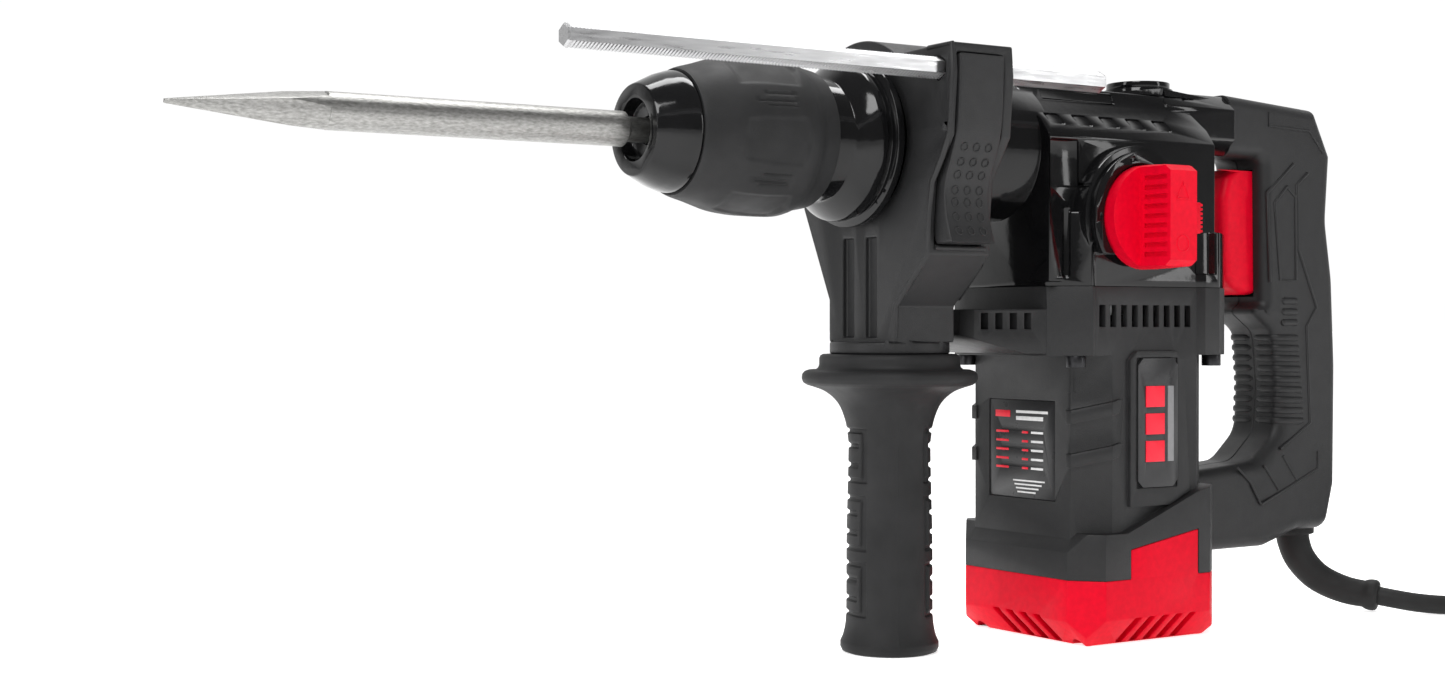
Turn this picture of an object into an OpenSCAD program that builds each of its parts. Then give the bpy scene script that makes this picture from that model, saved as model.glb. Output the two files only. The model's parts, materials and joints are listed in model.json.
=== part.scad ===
// Combination rotary and demolition hammer: an L-shaped machine with a vertical motor under a horizontal
// hammer mechanism. +Z is up, the tool points along -X, and the operator's left is -Y.
// The origin is the middle of the flat base of the motor's end cap, on the motor's axis.

/* [Machine] */
// Height of the tool axis above the base
axis_h = 216; // [215:0.5:217]
// Height of the split between the motor housing and the gear housing
split_h = 156; // [155.5:0.25:156.5]
// Height of the red end cap
cap_h = 29; // [27:0.5:31]
// Distance of the housing screws from the motor axis, along X
screw_x = 41; // [40.5:0.25:41.5]
// Distance of the housing screws from the motor axis, along Y
screw_y = 36.5; // [36:0.25:37]

/* [Chuck and tool] */
// Diameter of the chisel's blade bar
chisel_d = 14; // [12:0.5:14]
// Length of the chisel's bar in front of its shank
chisel_l = 182; // [150:1:200]
// Diameter of the shank
shank_d = 10; // [9.9:0.05:10]
// Length of the shank behind the shoulder
shank_l = 68; // [67:0.5:68]
// Largest radius of the locking sleeve
sleeve_r = 32.4; // [31.5:0.1:33]
// Travel of the locking sleeve
sleeve_travel = 8; // [6:0.5:8]

/* [Side handle] */
// Position of the side handle along the tool axis
grip_x = -114; // [-114.5:0.5:-113.5]
// Radius of the side handle's waist
grip_r = 17.5; // [16.5:0.25:18]
// Radius of the side handle's flange
grip_flange_r = 37.5; // [35:0.5:38]
// Length of the depth rod
rod_l = 257; // [240:1:257]
// Width of the depth rod across its flats
rod_af = 8; // [7.5:0.1:8]

/* [Drive] */
// Gear module
gear_m = 1; // [0.99:0.01:1]
// Teeth of the armature pinion
pinion_z = 8; // [8:1:8]
// Teeth of the crank gear and of the spindle drive gear
wheel_z = 40; // [40:1:40]
// Teeth of the small face pinion
face_pinion_z = 12; // [12:1:12]
// Teeth of the face gear on the spindle
face_gear_z = 48; // [48:1:48]
// Radius of the crank pin's circle, half of the piston's stroke
crank_throw = 6.5; // [5:0.1:6.5]
// Length of the connecting rod between its centres
rod_len = 40; // [39:0.5:40]
// Bore radius of the hammer tube
tube_bore = 14; // [14:0.01:14.03]

/* [Hidden] */
$fn = 64;
eps = 0.02;

// Chuck stations along X
shoulder_x = -244;
nose_x = -240;
seam_x = -222.4;
ball_x = -200;
ball_r = 3.5;
ball_c = shank_d / 2 - 1.2 + ball_r;
spindle_r = 11;
spring_seat_x = -172;
collar_x0 = -151;
collar_x1 = -132.5;
sleeve_end_x = collar_x0 - sleeve_travel - 1.5;

// Gearbox
wheel_r = gear_m * wheel_z / 2;
gear_pitch = gear_m * (pinion_z + wheel_z) / 2;
crank_x = gear_pitch;
drive_x = -gear_pitch;
pin_x = crank_x - crank_throw;
wrist_x = pin_x - rod_len;
gear_z0 = 168;
gear_z1 = 178;
face_r = gear_m * face_gear_z / 2;
face_pr = gear_m * face_pinion_z / 2;
face_x = drive_x - face_pr;
tube_r = 18;
web_z0 = 180;
web_z1 = 187;
motor_bore = 37.2;
core_r = 21.5;
bearing_gap = 0.03;

// Mode dial, on the near side
dial_x = -11;
dial_z = 186;
// The dial and its seat are cut flat below this height
dial_flat_z = 170;

// Side handle
rod_y = -53;
rod_z = axis_h + 26;
rod_x0 = -299.5;
lever_y = -57.8;
lever_z = 218;
bracket_x0 = -130;
bracket_x1 = -98;
barrel_r = 28.5;

// Handle and cord
cord_r = 4.5;
// The spare cord: a coil, the angle that it and its plug are turned by, and the plug's place on it
coil_c = [306, -57];
coil_ri = 36.7;
coil_ro = 70.7;
coil_h = 27;
coil_turn = 115;
plug_x = -7;
plug_y = -41;
plug_z = coil_h + 18;
boot_route = [[136, 0, 40], [136, -0.5, 33], [137.5, -4, 24], [142, -11, 15.5], [149, -22, 10],
    [157, -35, 8]];
cord_route = [[157, -35, 8], [161.4, -41.9, 6.8], [167, -48.6, 5.6], [174.6, -55.9, 4.8], [184, -63.4, 4.6],
    [194.5, -70.7, 4.6], [207, -78.8, 4.6], [224, -89, 4.6], [241.7, -99, 4.6], [259.8, -108.3, 4.6],
    [278, -117, 4.6]];
// From the coil's top turn to the plug, about the coil's centre and before its turn
tail_route = [[-31, 36.9, 22.5], [-39.7, 27, 23.4], [-45.4, 15, 25.7], [-47.4, 2, 29.1], [-46, -10.8, 33.2],
    [-40.6, -22.7, 37.4], [-31.6, -32.2, 41.1], [-20.2, -38.4, 43.8], [plug_x, plug_y, plug_z]];

// ---- helpers ----
// An outline in X and Z, drawn out along Y
module prism_y(pts, y0, y1)
    translate([0, y1, 0]) rotate([90, 0, 0]) linear_extrude(y1 - y0) polygon(pts);

// An outline in Y and Z, drawn out along X
module prism_x(pts, x0, x1)
    translate([x0, 0, 0]) rotate([90, 0, 90]) linear_extrude(x1 - x0) polygon(pts);

module prism_z(pts, z0, z1)
    translate([0, 0, z0]) linear_extrude(z1 - z0) polygon(pts);

// A turned piece on the tool axis, from points [radius, x]
module turned_x(pts)
    translate([0, 0, axis_h]) rotate([0, 90, 0]) rotate_extrude() polygon(pts);

module cyl_x(r, x0, x1, y = 0, z = axis_h)
    translate([x0, y, z]) rotate([0, 90, 0]) cylinder(r = r, h = x1 - x0);

module cyl_y(r, y0, y1, x, z)
    translate([x, y1, z]) rotate([90, 0, 0]) cylinder(r = r, h = y1 - y0);

module cyl_z(r, z0, z1, x = 0, y = 0)
    translate([x, y, z0]) cylinder(r = r, h = z1 - z0);

module ring_z(ro, ri, z0, z1, x = 0, y = 0)
    translate([x, y, z0]) difference() {
        cylinder(r = ro, h = z1 - z0);
        translate([0, 0, -1]) cylinder(r = ri, h = z1 - z0 + 2);
    }

module box(lo, hi)
    translate(lo) cube(hi - lo);

module both_sides() {
    children();
    mirror([0, 1, 0]) children();
}

// The given half of an outline, closed with its mirror image across Y = 0
function both(pts) = concat(pts, [for (i = [len(pts) - 1:-1:0]) [pts[i].x, -pts[i].y]]);

// The given half of a section in Y and Z, closed with its mirror image across Y = 0
function across(pts) = concat(pts, [for (i = [len(pts) - 1:-1:0]) [-pts[i].x, pts[i].y]]);

// An outline from corners [x, z, radius], each rounded by an arc of five points
function filleted(p) = [for (i = [0:len(p) - 1]) let (
    c = [p[i].x, p[i].y],
    before = p[(i + len(p) - 1) % len(p)],
    after = p[(i + 1) % len(p)],
    u = unit([before.x, before.y] - c),
    v = unit([after.x, after.y] - c),
    half = acos(u * v) / 2,
    reach = p[i].z / tan(half),
    mid = c + unit(u + v) * p[i].z / sin(half),
    start = c + u * reach - mid,
    turn = (cross(start, v) > 0 ? 1 : -1) * (180 - 2 * half))
    for (k = [0:4]) let (a = turn * k / 4)
        mid + [start.x * cos(a) - start.y * sin(a), start.x * sin(a) + start.y * cos(a)]];

// Points of a smooth curve through a route
function spline(a, b, c, d, t) = 0.5 * (2 * b + (c - a) * t + (2 * a - 5 * b + 4 * c - d) * t * t
    + (3 * b - a - 3 * c + d) * t * t * t);
function smooth(p, n) = [for (i = [0:len(p) - 2]) for (k = [0:n - 1])
    spline(p[max(i - 1, 0)], p[i], p[i + 1], p[min(i + 2, len(p) - 1)], k / n), p[len(p) - 1]];
function unit(v) = v / norm(v);
function heading(p, i) = unit(p[min(i + 1, len(p) - 1)] - p[max(i - 1, 0)]);

// A round bar swept along points, from radius r0 to radius r1; side is a direction across the whole run
module tube(p, r0, r1, side, sides = 10) {
    last = len(p) - 1;
    pts = [for (i = [0:last]) let (t = i == 0 ? unit(p[1] - p[0]) : heading(p, i),
        v = unit(cross(t, side)), u = cross(v, t), r = r0 + (r1 - r0) * i / last)
        for (k = [0:sides - 1]) p[i] + r * (cos(360 * k / sides) * u + sin(360 * k / sides) * v)];
    walls = [for (i = [0:last - 1]) for (k = [0:sides - 1]) let (n = (k + 1) % sides)
        [i * sides + k, (i + 1) * sides + k, (i + 1) * sides + n, i * sides + n]];
    polyhedron(pts, concat([[for (k = [0:sides - 1]) k]], walls,
        [[for (k = [sides - 1:-1:0]) last * sides + k]]), convexity = 4);
}

// A coil spring along +Z from the origin
module coil_spring(r, wire, turns, length) {
    steps = turns * 12;
    p = [for (i = [0:steps]) [r * cos(i * 30), r * sin(i * 30), wire / 2 + (length - wire) * i / steps]];
    pts = [for (i = [0:steps]) for (k = [0:5]) let (a = i * 30, b = k * 60)
        p[i] + wire / 2 * [cos(b) * cos(a), cos(b) * sin(a), sin(b)]];
    walls = [for (i = [0:steps - 1]) for (k = [0:5]) let (n = (k + 1) % 6)
        [i * 6 + k, i * 6 + n, (i + 1) * 6 + n, (i + 1) * 6 + k]];
    polyhedron(pts, concat([[5, 4, 3, 2, 1, 0]], walls, [[for (k = [0:5]) steps * 6 + k]]), convexity = 8);
}

// Spur gear outline: involute flanks from the root to the tip, thinned for backlash
pressure = 25;
function turn_of(r, rb) = r <= rb ? 0 : let (a = acos(rb / r)) tan(a) * 180 / PI - a;
function half_tooth(z, r) = let (rp = gear_m * z / 2, rb = rp * cos(pressure))
    90 / z - 0.09 / rp * 180 / PI + turn_of(rp, rb) - turn_of(r, rb);
module gear_outline(z, add, ded) {
    rp = gear_m * z / 2;
    radii = [rp - ded, rp - ded * 0.3, rp + add * 0.2, rp + add];
    polygon([for (i = [0:z - 1]) let (c = 360 * i / z) each concat(
        [for (k = [0:3]) let (a = c - half_tooth(z, radii[k])) radii[k] * [cos(a), sin(a)]],
        [for (k = [3:-1:0]) let (a = c + half_tooth(z, radii[k])) radii[k] * [cos(a), sin(a)]])]);
}

module hex_bar(af, x0, x1, y, z)
    translate([x0, y, z]) rotate([0, 90, 0]) cylinder(r = af / sqrt(3), h = x1 - x0, $fn = 6);

module socket_screw(x, y, z, length) {
    difference() {
        union() {
            cyl_z(4.25, z - 5, z, x, y);
            cyl_z(2.5, z - eps, z + length, x, y);
        }
        translate([x, y, z - 6]) cylinder(r = 2.3, h = 3.6, $fn = 6);
    }
}

// ---- outlines shared by the housings ----
flange_half = [[-56, -20], [-53, -31], [-38.5, -44.5], [-35, -42], [26, -42], [29, -44.5], [38, -44.5],
    [50, -36], [52, -20]];
body_half = [[-40, -32], [-25, -42], [26, -42], [38, -32], [42, -20]];
cap_half = [[-44, -34], [-37, -42], [-33, -46.5], [30, -46.5], [36, -42], [44, -34]];
bore_half = [[-42, -24], [-28, -39], [24, -39], [38, -28]];

// ---- gear housing ----
gear_section = [[-36, split_h + 2], [-36, 221], [-31, 228], [-20, 237], [-16, 244.5]];
gear_cavity = [[-31, 190], [-31, 222], [-14, 239], [14, 239], [31, 222], [31, 190]];

module gear_body() {
    prism_z(both(flange_half), split_h, 181);
    prism_x(across(gear_section), -56, 44);
    // collar of the housing that narrows to the barrel
    cyl_x(31, -97, -50);
    cyl_x(barrel_r, collar_x1, -97 + eps);
    // deck and filler boss over the crank
    cyl_z(16, 230, 248.5, 31);
    // arm that carries the main handle
    prism_x(across([[-13, 219], [-20, 226], [-20, 240], [-13, 247]]), 30, 74);
    // round seat of the mode dial
    intersection() {
        cyl_y(31.5, -44, -30, dial_x, dial_z);
        box([dial_x - 40, -50, dial_flat_z], [dial_x + 40, -20, 230]);
    }
    // ribs of the front pillars
    both_sides() prism_z([[-56, -20], [-53, -31], [-38.5, -44.5], [-38.5, -30], [-50, -20]], 180, 188);
}

module gear_housing() {
    color([0.03, 0.03, 0.035]) difference() {
        gear_body();
        // barrel bore and gear chamber
        cyl_x(22, collar_x1 - 1, -58);
        cyl_x(28, -58 - eps, -20);
        prism_x(gear_cavity, -46, -14);
        prism_x(gear_cavity, -6, 41);
        cyl_x(22, -15, -5);
        difference() {
            prism_z([[-46, -31], [-46, 31], [46, 31], [46, -31]], split_h - 1, 192);
            // web of the upper gear bearings
            difference() {
                box([-46, -31, web_z0], [46, 31, web_z1]);
                cyl_z(15, web_z0 - 1, web_z1 + 1, crank_x);
                cyl_z(11, web_z0 - 1, web_z1 + 1, drive_x);
            }
        }
        // screw holes from below
        for (sx = [-1, 1], sy = [-1, 1]) cyl_z(2.52, split_h - 1, split_h + 16, sx * screw_x, sy * screw_y);
        // spindle of the mode dial
        cyl_y(6.05, -50, -22, dial_x, dial_z);
        cyl_y(28.8, -50, -44, dial_x, dial_z);
        // filler opening under its cap
        cyl_z(11, 236, 250, 31);
        // recessed side panels, windows and grooves on both sides
        both_sides() {
            box([-55, -45, 199], [-39, -34.8, 219]);
            for (i = [0:4]) translate([-51.5 + 16 * i, 0, 0])
                prism_x([[-40, 226], [-31.2, 226], [-29.8, 228], [-26.3, 231], [-40, 231]], 0, 8);
            prism_z([[-50, -38], [-48, -40], [-44, -36], [-46, -34]], split_h + 4, 190);
            prism_x([[-25, 238.5], [-18.2, 238.5], [-15.8, 243], [-25, 243]], -45, -2);
        }
        // lower waist behind the dial
        both_sides() prism_z([[20, -50], [26, -41.2], [34, -41.2], [38, -50]], split_h + 6, 182);
        // seat of the main handle's arm
        box([60, -14, 223], [75, 14, 243]);
    }
}

module front_collar() {
    color([0.02, 0.02, 0.025]) turned_x([[22, -158.5], [25.4, -158.5], [25.4, -150.6], [27.6, -149],
        [31, -146], [33.2, -143.5], [33.4, -140], [32.4, -139.2], [32.4, -137], [35.6, -136.4],
        [35.6, -133.4], [34.6, collar_x1], [20, collar_x1], [20, -142], [22, -142]]);
}

module spindle_bearing() {
    color("silver") turned_x([[14 + bearing_gap, -156], [16.5, -156], [16.5, -155.4], [19, -155.4], [19, -156],
        [21.98, -156], [21.98, -144], [14 + bearing_gap, -144]]);
}

module grease_cap() {
    color([0.06, 0.06, 0.065]) difference() {
        union() {
            cyl_z(14.5, 248.5, 251.5, 31);
            cyl_z(10.95, 241, 248.6, 31);
        }
        for (s = [-1, 1]) cyl_z(1.6, 249.5, 252, 31 + 7 * s);
    }
}

module spindle_bush() {
    color("goldenrod") difference() {
        cyl_x(22, -14, -6);
        cyl_x(tube_r + 0.05, -15, -5);
    }
}

// ---- motor ----
module motor_outer() {
    prism_z(both(body_half), 30, 127);
    prism_z(both(flange_half), 126, split_h);
    // skirt that flares to the cap, and rises towards the rear
    intersection() {
        prism_z(both(cap_half), cap_h, 70);
        prism_y([[-44, cap_h], [-44, 41], [-38, 49], [-20, 49], [24, 66], [34, 68], [44, 66], [44, cap_h]],
            -47, 47);
    }
    // nose of the flange that reaches forward under the barrel
    intersection() {
        prism_z(both([[-88, -15], [-84, -20], [-50, -32]]), 127, 146);
        prism_y([[-88, 135], [-88, 146], [-50, 146], [-50, 127], [-62, 127], [-80, 132]], -40, 40);
    }
    // side panel that frames the badge
    both_sides() prism_y([[-16, 60], [-16, 124], [-12, 128], [12, 128], [16, 124], [20, 66], [8, 60]],
        -44, -41);
    // diagonal ribs on the corners
    both_sides() intersection() {
        prism_z([[-41, -30], [-41, -33.3], [-26, -43.3], [-18, -43.3], [-18, -30]], 70, 112);
        for (z = [80, 99])
            prism_y([[-42, z - 3], [-22, z + 2], [-20, z + 8], [-22, z + 8], [-42, z + 3]], -45, -29);
    }
}

module motor_housing() {
    color([0.14, 0.14, 0.145]) difference() {
        motor_outer();
        cyl_z(motor_bore, cap_h - 1, split_h - 5.98);
        prism_z(both(bore_half), 128, split_h - 5.98);
        prism_z([[-46, -31], [-46, 31], [46, 31], [46, -31]], split_h - 6, split_h + 1);
        // counterbores and holes of the housing screws
        for (sx = [-1, 1], sy = [-1, 1]) {
            cyl_z(2.6, 120, split_h + 1, sx * screw_x, sy * screw_y);
            cyl_z(4.4, 110, 126, sx * screw_x, sy * screw_y);
        }
        // cooling slots in the flange and its nose
        both_sides() {
            for (i = [0:8]) box([-32.5 + 6.4 * i, -46, 138.5], [-29 + 6.4 * i, -36, 148]);
            for (i = [0:3]) translate([-81 + 6.2 * i, -28 - 1.5 * i, 137.5]) cube([3, 14, 7]);
        }
        // seat of the nameplate
        box([-41, -22, 62], [-38.8, 22, 106]);
        // seat of the badge
        both_sides() prism_y([[-12.2, 68], [-12.2, 125], [12.2, 125], [12.2, 68]], -45, -43.2);
        // red panel of the cap reaches up on the sides
        both_sides() prism_y([[-18, 20], [-18, 42], [23, 49], [23, 20]], -48, -41.5);
        // holes of the cap screws
        for (sx = [-1, 1], sy = [-1, 1]) cyl_z(1.6, cap_h - 1, cap_h + 14, sx * 33, sy * 32);
        // root of the main handle
        box([38.5, -14.5, 36], [46, 14.5, 62]);
    }
}

module cap_outer() {
    intersection() {
        union() {
            prism_z(both(cap_half), 0, cap_h);
            both_sides() prism_y([[-17.8, 20], [-17.8, 41.8], [22.8, 48.8], [22.8, 20]], -46.5, -41.7);
        }
        prism_y([[-35, 0], [-44, 11], [-44, 60], [44, 60], [44, 11], [35, 0]], -50, 50);
        prism_x([[-37, 0], [-46.5, 12], [-46.5, 60], [46.5, 60], [46.5, 12], [37, 0]], -50, 50);
    }
}

module end_cap() {
    color([0.85, 0.02, 0.08]) ring_z(14, 11, 3 - eps, 15);
    color([0.85, 0.02, 0.08]) difference() {
        cap_outer();
        cyl_z(33, 3, 10.02);
        cyl_z(38, 10, cap_h + 1);
        // slanted air slots in the sides and the front
        both_sides() for (i = [0:4]) translate([-19 + 8.2 * i, 0, 0])
            prism_y([[0, 1], [4, 1], [8, 12], [4, 12]], -50, -36);
        for (i = [0:3]) translate([0, -22 + 9 * i, 0]) prism_x([[0, 1], [4.5, 1], [10, 12], [5.5, 12]], -50, -34);
        // deep screw holes
        for (sx = [-1, 1], sy = [-1, 1]) {
            cyl_z(1.7, -1, cap_h + 1, sx * 33, sy * 32);
            cyl_z(4, -1, 14, sx * 33, sy * 32);
        }
    }
}

module end_cap_screws() {
    color("dimgray") for (sx = [-1, 1], sy = [-1, 1]) difference() {
        union() {
            cyl_z(3.5, 11, 14, sx * 33, sy * 32);
            cyl_z(1.55, 14 - eps, cap_h + 12, sx * 33, sy * 32);
        }
        cyl_z(1, 10, 12.5, sx * 33, sy * 32);
    }
}

module housing_screws() {
    color([0.05, 0.05, 0.05]) for (sx = [-1, 1], sy = [-1, 1])
        socket_screw(sx * screw_x, sy * screw_y, 126, split_h + 14 - 126);
}

module nameplate() {
    color([0.1, 0.1, 0.1]) difference() {
        box([-39.6, -21.8, 62.2], [-38.8, 21.8, 105.8]);
        for (z = [92, 84, 76]) box([-40, -14, z], [-39.4, 14, z + 2]);
    }
}

module side_badge() {
    color([0.12, 0.12, 0.12]) both_sides() difference() {
        prism_y([[-9, 68.2], [-12, 71.2], [-12, 121.8], [-9, 124.8], [9, 124.8], [12, 121.8],
            [12, 71.2], [9, 68.2]], -44.6, -43.2);
        for (i = [0:2]) prism_y([[-7, 80 + 12 * i], [3, 80 + 12 * i], [3, 88 + 12 * i], [-7, 88 + 12 * i]],
            -45, -44.3);
    }
}

module bearing_plate() {
    color("lightgray") difference() {
        union() {
            prism_z([[-45.5, -30.5], [-45.5, 30.5], [45.5, 30.5], [45.5, -30.5]], split_h - 6, split_h);
            cyl_z(15.5, split_h - 6, split_h + 10, crank_x);
            cyl_z(13.5, split_h - 6, split_h + 10, drive_x);
            cyl_z(16, split_h - 12, split_h - 6 + eps);
        }
        cyl_z(13, split_h - 13, split_h - 3);
        cyl_z(7, split_h - 4, split_h + 11);
        cyl_z(13, split_h + 2, split_h + 11, crank_x);
        cyl_z(11, split_h + 2, split_h + 11, drive_x);
        for (x = [-40, 40], y = [-25, 25]) cyl_z(2.2, split_h - 7, split_h + 1, x, y);
    }
}

module motor_bearings() {
    color("silver") {
        bearing(13, 5, split_h - 12, split_h - 3, 0);
        bearing(11, 4, 8, 16, 0);
    }
}

module crank_bearings() {
    color("silver") {
        bearing(13, 6, split_h + 2, split_h + 10, crank_x);
        bearing(15, 6, web_z0, web_z1, crank_x);
    }
}

module drive_bearings() {
    color("silver") {
        bearing(11, 5, split_h + 2, split_h + 10, drive_x);
        bearing(11, 4.5, web_z0, web_z1, drive_x);
    }
}

// Ball bearing on a vertical shaft: two races and a filled gap between them, as one sealed piece
module bearing(ro, ri, z0, z1, x) {
    mid = (ro + ri) / 2;
    difference() {
        ring_z(ro, ri + bearing_gap, z0, z1, x);
        for (z = [z0 - 1, z1 - 0.6]) ring_z(mid + 1.5, mid - 1.5, z, z + 1.6, x);
    }
}

module armature() {
    color([0.45, 0.45, 0.47]) {
        cyl_z(4, 6, 18);
        // the shaft steps up above the lower bearing
        cyl_z(5, 16.3, 166);
        cyl_z(core_r, 58, 118);
    }
    color([0.72, 0.35, 0.12]) {
        cyl_z(core_r - 4, 50, 58 + eps);
        cyl_z(core_r - 4, 118 - eps, 126);
    }
    color("silver") translate([0, 0, 166 - eps]) linear_extrude(13) gear_outline(pinion_z, 0.7, 1.1);
}

module commutator() {
    color([0.72, 0.4, 0.15]) difference() {
        ring_z(12, 5, 24, 44);
        for (i = [0:11]) rotate([0, 0, i * 30]) box([10.8, -0.4, 23], [13, 0.4, 40]);
    }
}

module cooling_fan() {
    color([0.1, 0.1, 0.1]) {
        ring_z(34, 5, 128, 130);
        ring_z(9, 5, 130 - eps, 142);
        for (i = [0:11]) rotate([0, 0, i * 30]) box([8, -0.8, 130 - eps], [33, 0.8, 141]);
    }
}

module stator() {
    color([0.4, 0.4, 0.42]) difference() {
        cyl_z(motor_bore - 0.2, 56, 120);
        cyl_z(core_r + 0.8, 55, 121);
        for (s = [-1, 1]) box([-13.5, s > 0 ? 20 : -34, 55], [13.5, s > 0 ? 34 : -20, 121]);
    }
    color([0.72, 0.35, 0.12]) for (s = [-1, 1]) difference() {
        box([-13, s > 0 ? 25.5 : -33.5, 50], [13, s > 0 ? 33.5 : -25.5, 124]);
        box([-7, s > 0 ? 24 : -35, 60], [7, s > 0 ? 35 : -24, 114]);
    }
}

module brush_holders() {
    color("peru") for (s = [-1, 1]) mirror([s > 0 ? 0 : 1, 0, 0]) difference() {
        box([13.5, -6, 28], [35, 6, 42]);
        box([12, -3.55, 31], [33, 3.55, 39]);
    }
}

module carbon_brushes() {
    color([0.15, 0.15, 0.15]) for (s = [-1, 1]) mirror([s > 0 ? 0 : 1, 0, 0])
        box([12.05, -3.5, 31.05], [26, 3.5, 38.95]);
}

// ---- mode dial ----
module mode_dial() {
    color([0.04, 0.04, 0.045]) difference() {
        intersection() {
            cyl_y(28.8, -47, -44, dial_x, dial_z);
            box([dial_x - 40, -50, dial_flat_z], [dial_x + 40, -40, 230]);
        }
        cyl_y(23.4, -48, -45.4, dial_x, dial_z);
        cyl_y(6.05, -48, -43, dial_x, dial_z);
        // position marks
        for (a = [180, 105, 30]) translate([dial_x, 0, dial_z]) rotate([0, -a, 0])
            box([25, -48, -1.5], [27, -46.7, 1.5]);
    }
}

module mode_knob() {
    color([0.85, 0.02, 0.08]) difference() {
        union() {
            cyl_y(22.6, -52, -45.7, dial_x, dial_z);
            // central finger ridge
            intersection() {
                cyl_y(22.6, -70.5, -51, dial_x, dial_z);
                translate([dial_x, 0, dial_z]) prism_x([[-51, -22.6], [-67, -21.6], [-70.5, -19], [-70.5, 19],
                    [-67, 21.6], [-51, 22.6]], -7.8, 7.8);
            }
            cyl_y(6, -52, -30, dial_x, dial_z);
        }
        // grip grooves in the side of the ridge
        for (i = [-4:4]) translate([dial_x, 0, dial_z + 4.1 * i]) box([-9, -68.5, -1], [-6.8, -55, 1]);
        // slide of the lock button
        translate([dial_x, 0, dial_z]) box([10, -64, -7], [24, -45, 7]);
    }
}

module mode_lock_button() {
    color([0.85, 0.02, 0.08]) translate([dial_x, 0, dial_z]) {
        box([12.2, -58, -6.8], [23, -48, 6.8]);
        for (i = [-3:3]) translate([23 - eps, -58, 1.9 * i - 0.6]) cube([1.4, 10, 1.2]);
    }
}

module mode_spindle() {
    color("silver") {
        cyl_y(5.5, -30 + eps, -27, dial_x, dial_z);
        cyl_y(1.5, -27 - eps, -23.4, dial_x + 3, dial_z);
    }
}

// ---- main handle ----
handle_outer = filleted([[44.2, 33, 1], [100, 33.5, 14], [122, 40, 8], [143, 40, 8], [149, 62, 10],
    [149.6, 120, 60], [147.5, 162, 60], [143, 190, 30], [145.5, 222, 4], [134, 244, 4], [74, 248, 1],
    [74, 219, 1], [97, 219, 4], [98, 150, 3], [92, 146, 2], [107, 136, 9], [109.5, 112, 60], [108, 88, 14],
    [92, 74, 14], [44.2, 70, 1]]);
handle_inner = filleted([[50, 37, 1], [99, 37.5, 12], [121, 44, 6], [140, 44, 6], [145, 63, 8], [146, 120, 50],
    [144, 162, 50], [139.5, 190, 25], [141.5, 221, 3], [131.5, 240, 3], [78, 244, 1], [78, 223, 1],
    [101, 223, 3], [102, 150, 2], [99, 147, 1], [111, 138, 6], [113.5, 112, 50], [112, 86, 12], [94, 70, 12],
    [50, 66, 1]]);

module handle_half(side) {
    y0 = side < 0 ? -17 : 0;
    difference() {
        union() {
            intersection() {
                prism_y(handle_outer, y0, y0 + 17);
                prism_z([[44, -14], [60, -17], [150, -17], [150, 17], [60, 17], [44, 14]], 30, 250);
            }
            // tongues into the arm of the gear housing and into the motor housing
            box([60.2, side < 0 ? -13.8 : 0, 223.2], [75, side < 0 ? 0 : 13.8, 242.8]);
            box([38.7, side < 0 ? -14.3 : 0, 36.2], [47, side < 0 ? 0 : 14.3, 61.8]);
            // round cheeks of the lower mount
            cyl_y(19, side < 0 ? -19 : 0, side < 0 ? 0 : 19, 66, 53);
        }
        prism_y(handle_inner, -13.5, 13.5);
        // window of the trigger
        box([90, -9.3, 153], [104, 9.3, 214]);
        // seat of the trigger's pin
        cyl_y(2, -15.5, 15.5, 104, 210);
        // way of the cable
        cyl_z(4.7, 38, 45, 136);
        for (s = screw_spots) {
            cyl_y(1.55, -12, 18, s.x, s.y);
            cyl_y(3.6, 13, 18, s.x, s.y);
        }
    }
    // screw posts
    difference() {
        for (s = screw_spots) cyl_y(5, side < 0 ? -13.6 : 0, side < 0 ? 0 : 13.6, s.x, s.y);
        for (s = screw_spots) {
            cyl_y(1.55, -12, 18, s.x, s.y);
            cyl_y(3.6, 13, 18, s.x, s.y);
        }
    }
}
screw_spots = [[60, 48], [110, 48], [138, 70], [137, 140], [132, 228], [90, 234]];

module handle_left_shell() {
    color([0.11, 0.11, 0.11]) handle_half(-1);
}

module handle_right_shell() {
    color([0.11, 0.11, 0.11]) handle_half(1);
}

module handle_screws() {
    color("dimgray") for (s = screw_spots) difference() {
        union() {
            cyl_y(1.5, -11, 13.2, s.x, s.y);
            cyl_y(3.1, 13, 15.5, s.x, s.y);
        }
        cyl_y(1, 14.2, 16, s.x, s.y);
    }
}

module trigger() {
    color([0.85, 0.02, 0.08]) difference() {
        union() {
            prism_y([[86, 214], [96, 213.5], [108, 213.5], [108, 206], [101.5, 203], [99, 154], [92, 154],
                [86, 157], [80, 163], [78, 180], [78, 200], [81, 210]], -9, 9);
            prism_y([[101, 196], [106, 196], [106, 190], [100.5, 190]], -4, 4);
        }
        cyl_y(2.05, -10, 10, 104, 210);
    }
}

module trigger_pin() {
    color("silver") cyl_y(2, -15.45, 15.45, 104, 210);
}

module trigger_spring() {
    color("silver") translate([101.6, 0, 176]) rotate([0, 90, 0]) coil_spring(3, 0.8, 5, 11.3);
}

module switch_body() {
    color([0.2, 0.2, 0.2]) {
        box([113, -10, 150], [136, 10, 202]);
        box([110, -3, 189], [113 + eps, 3, 197]);
    }
}

module cable_clamp() {
    color("dimgray") difference() {
        union() {
            box([123, -9, 49.2], [141, 9, 55.2]);
            // foot on the handle's floor
            box([123, -9, 44.02], [130, 9, 49.2 + eps]);
        }
        cyl_z(4.6, 48, 57, 136);
    }
}

module strain_relief() {
    color([0.08, 0.08, 0.08]) {
        tube(smooth(boot_route, 4), 8.2, 6.4, [0.86, 0.5, 0], 12);
    }
}

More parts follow.
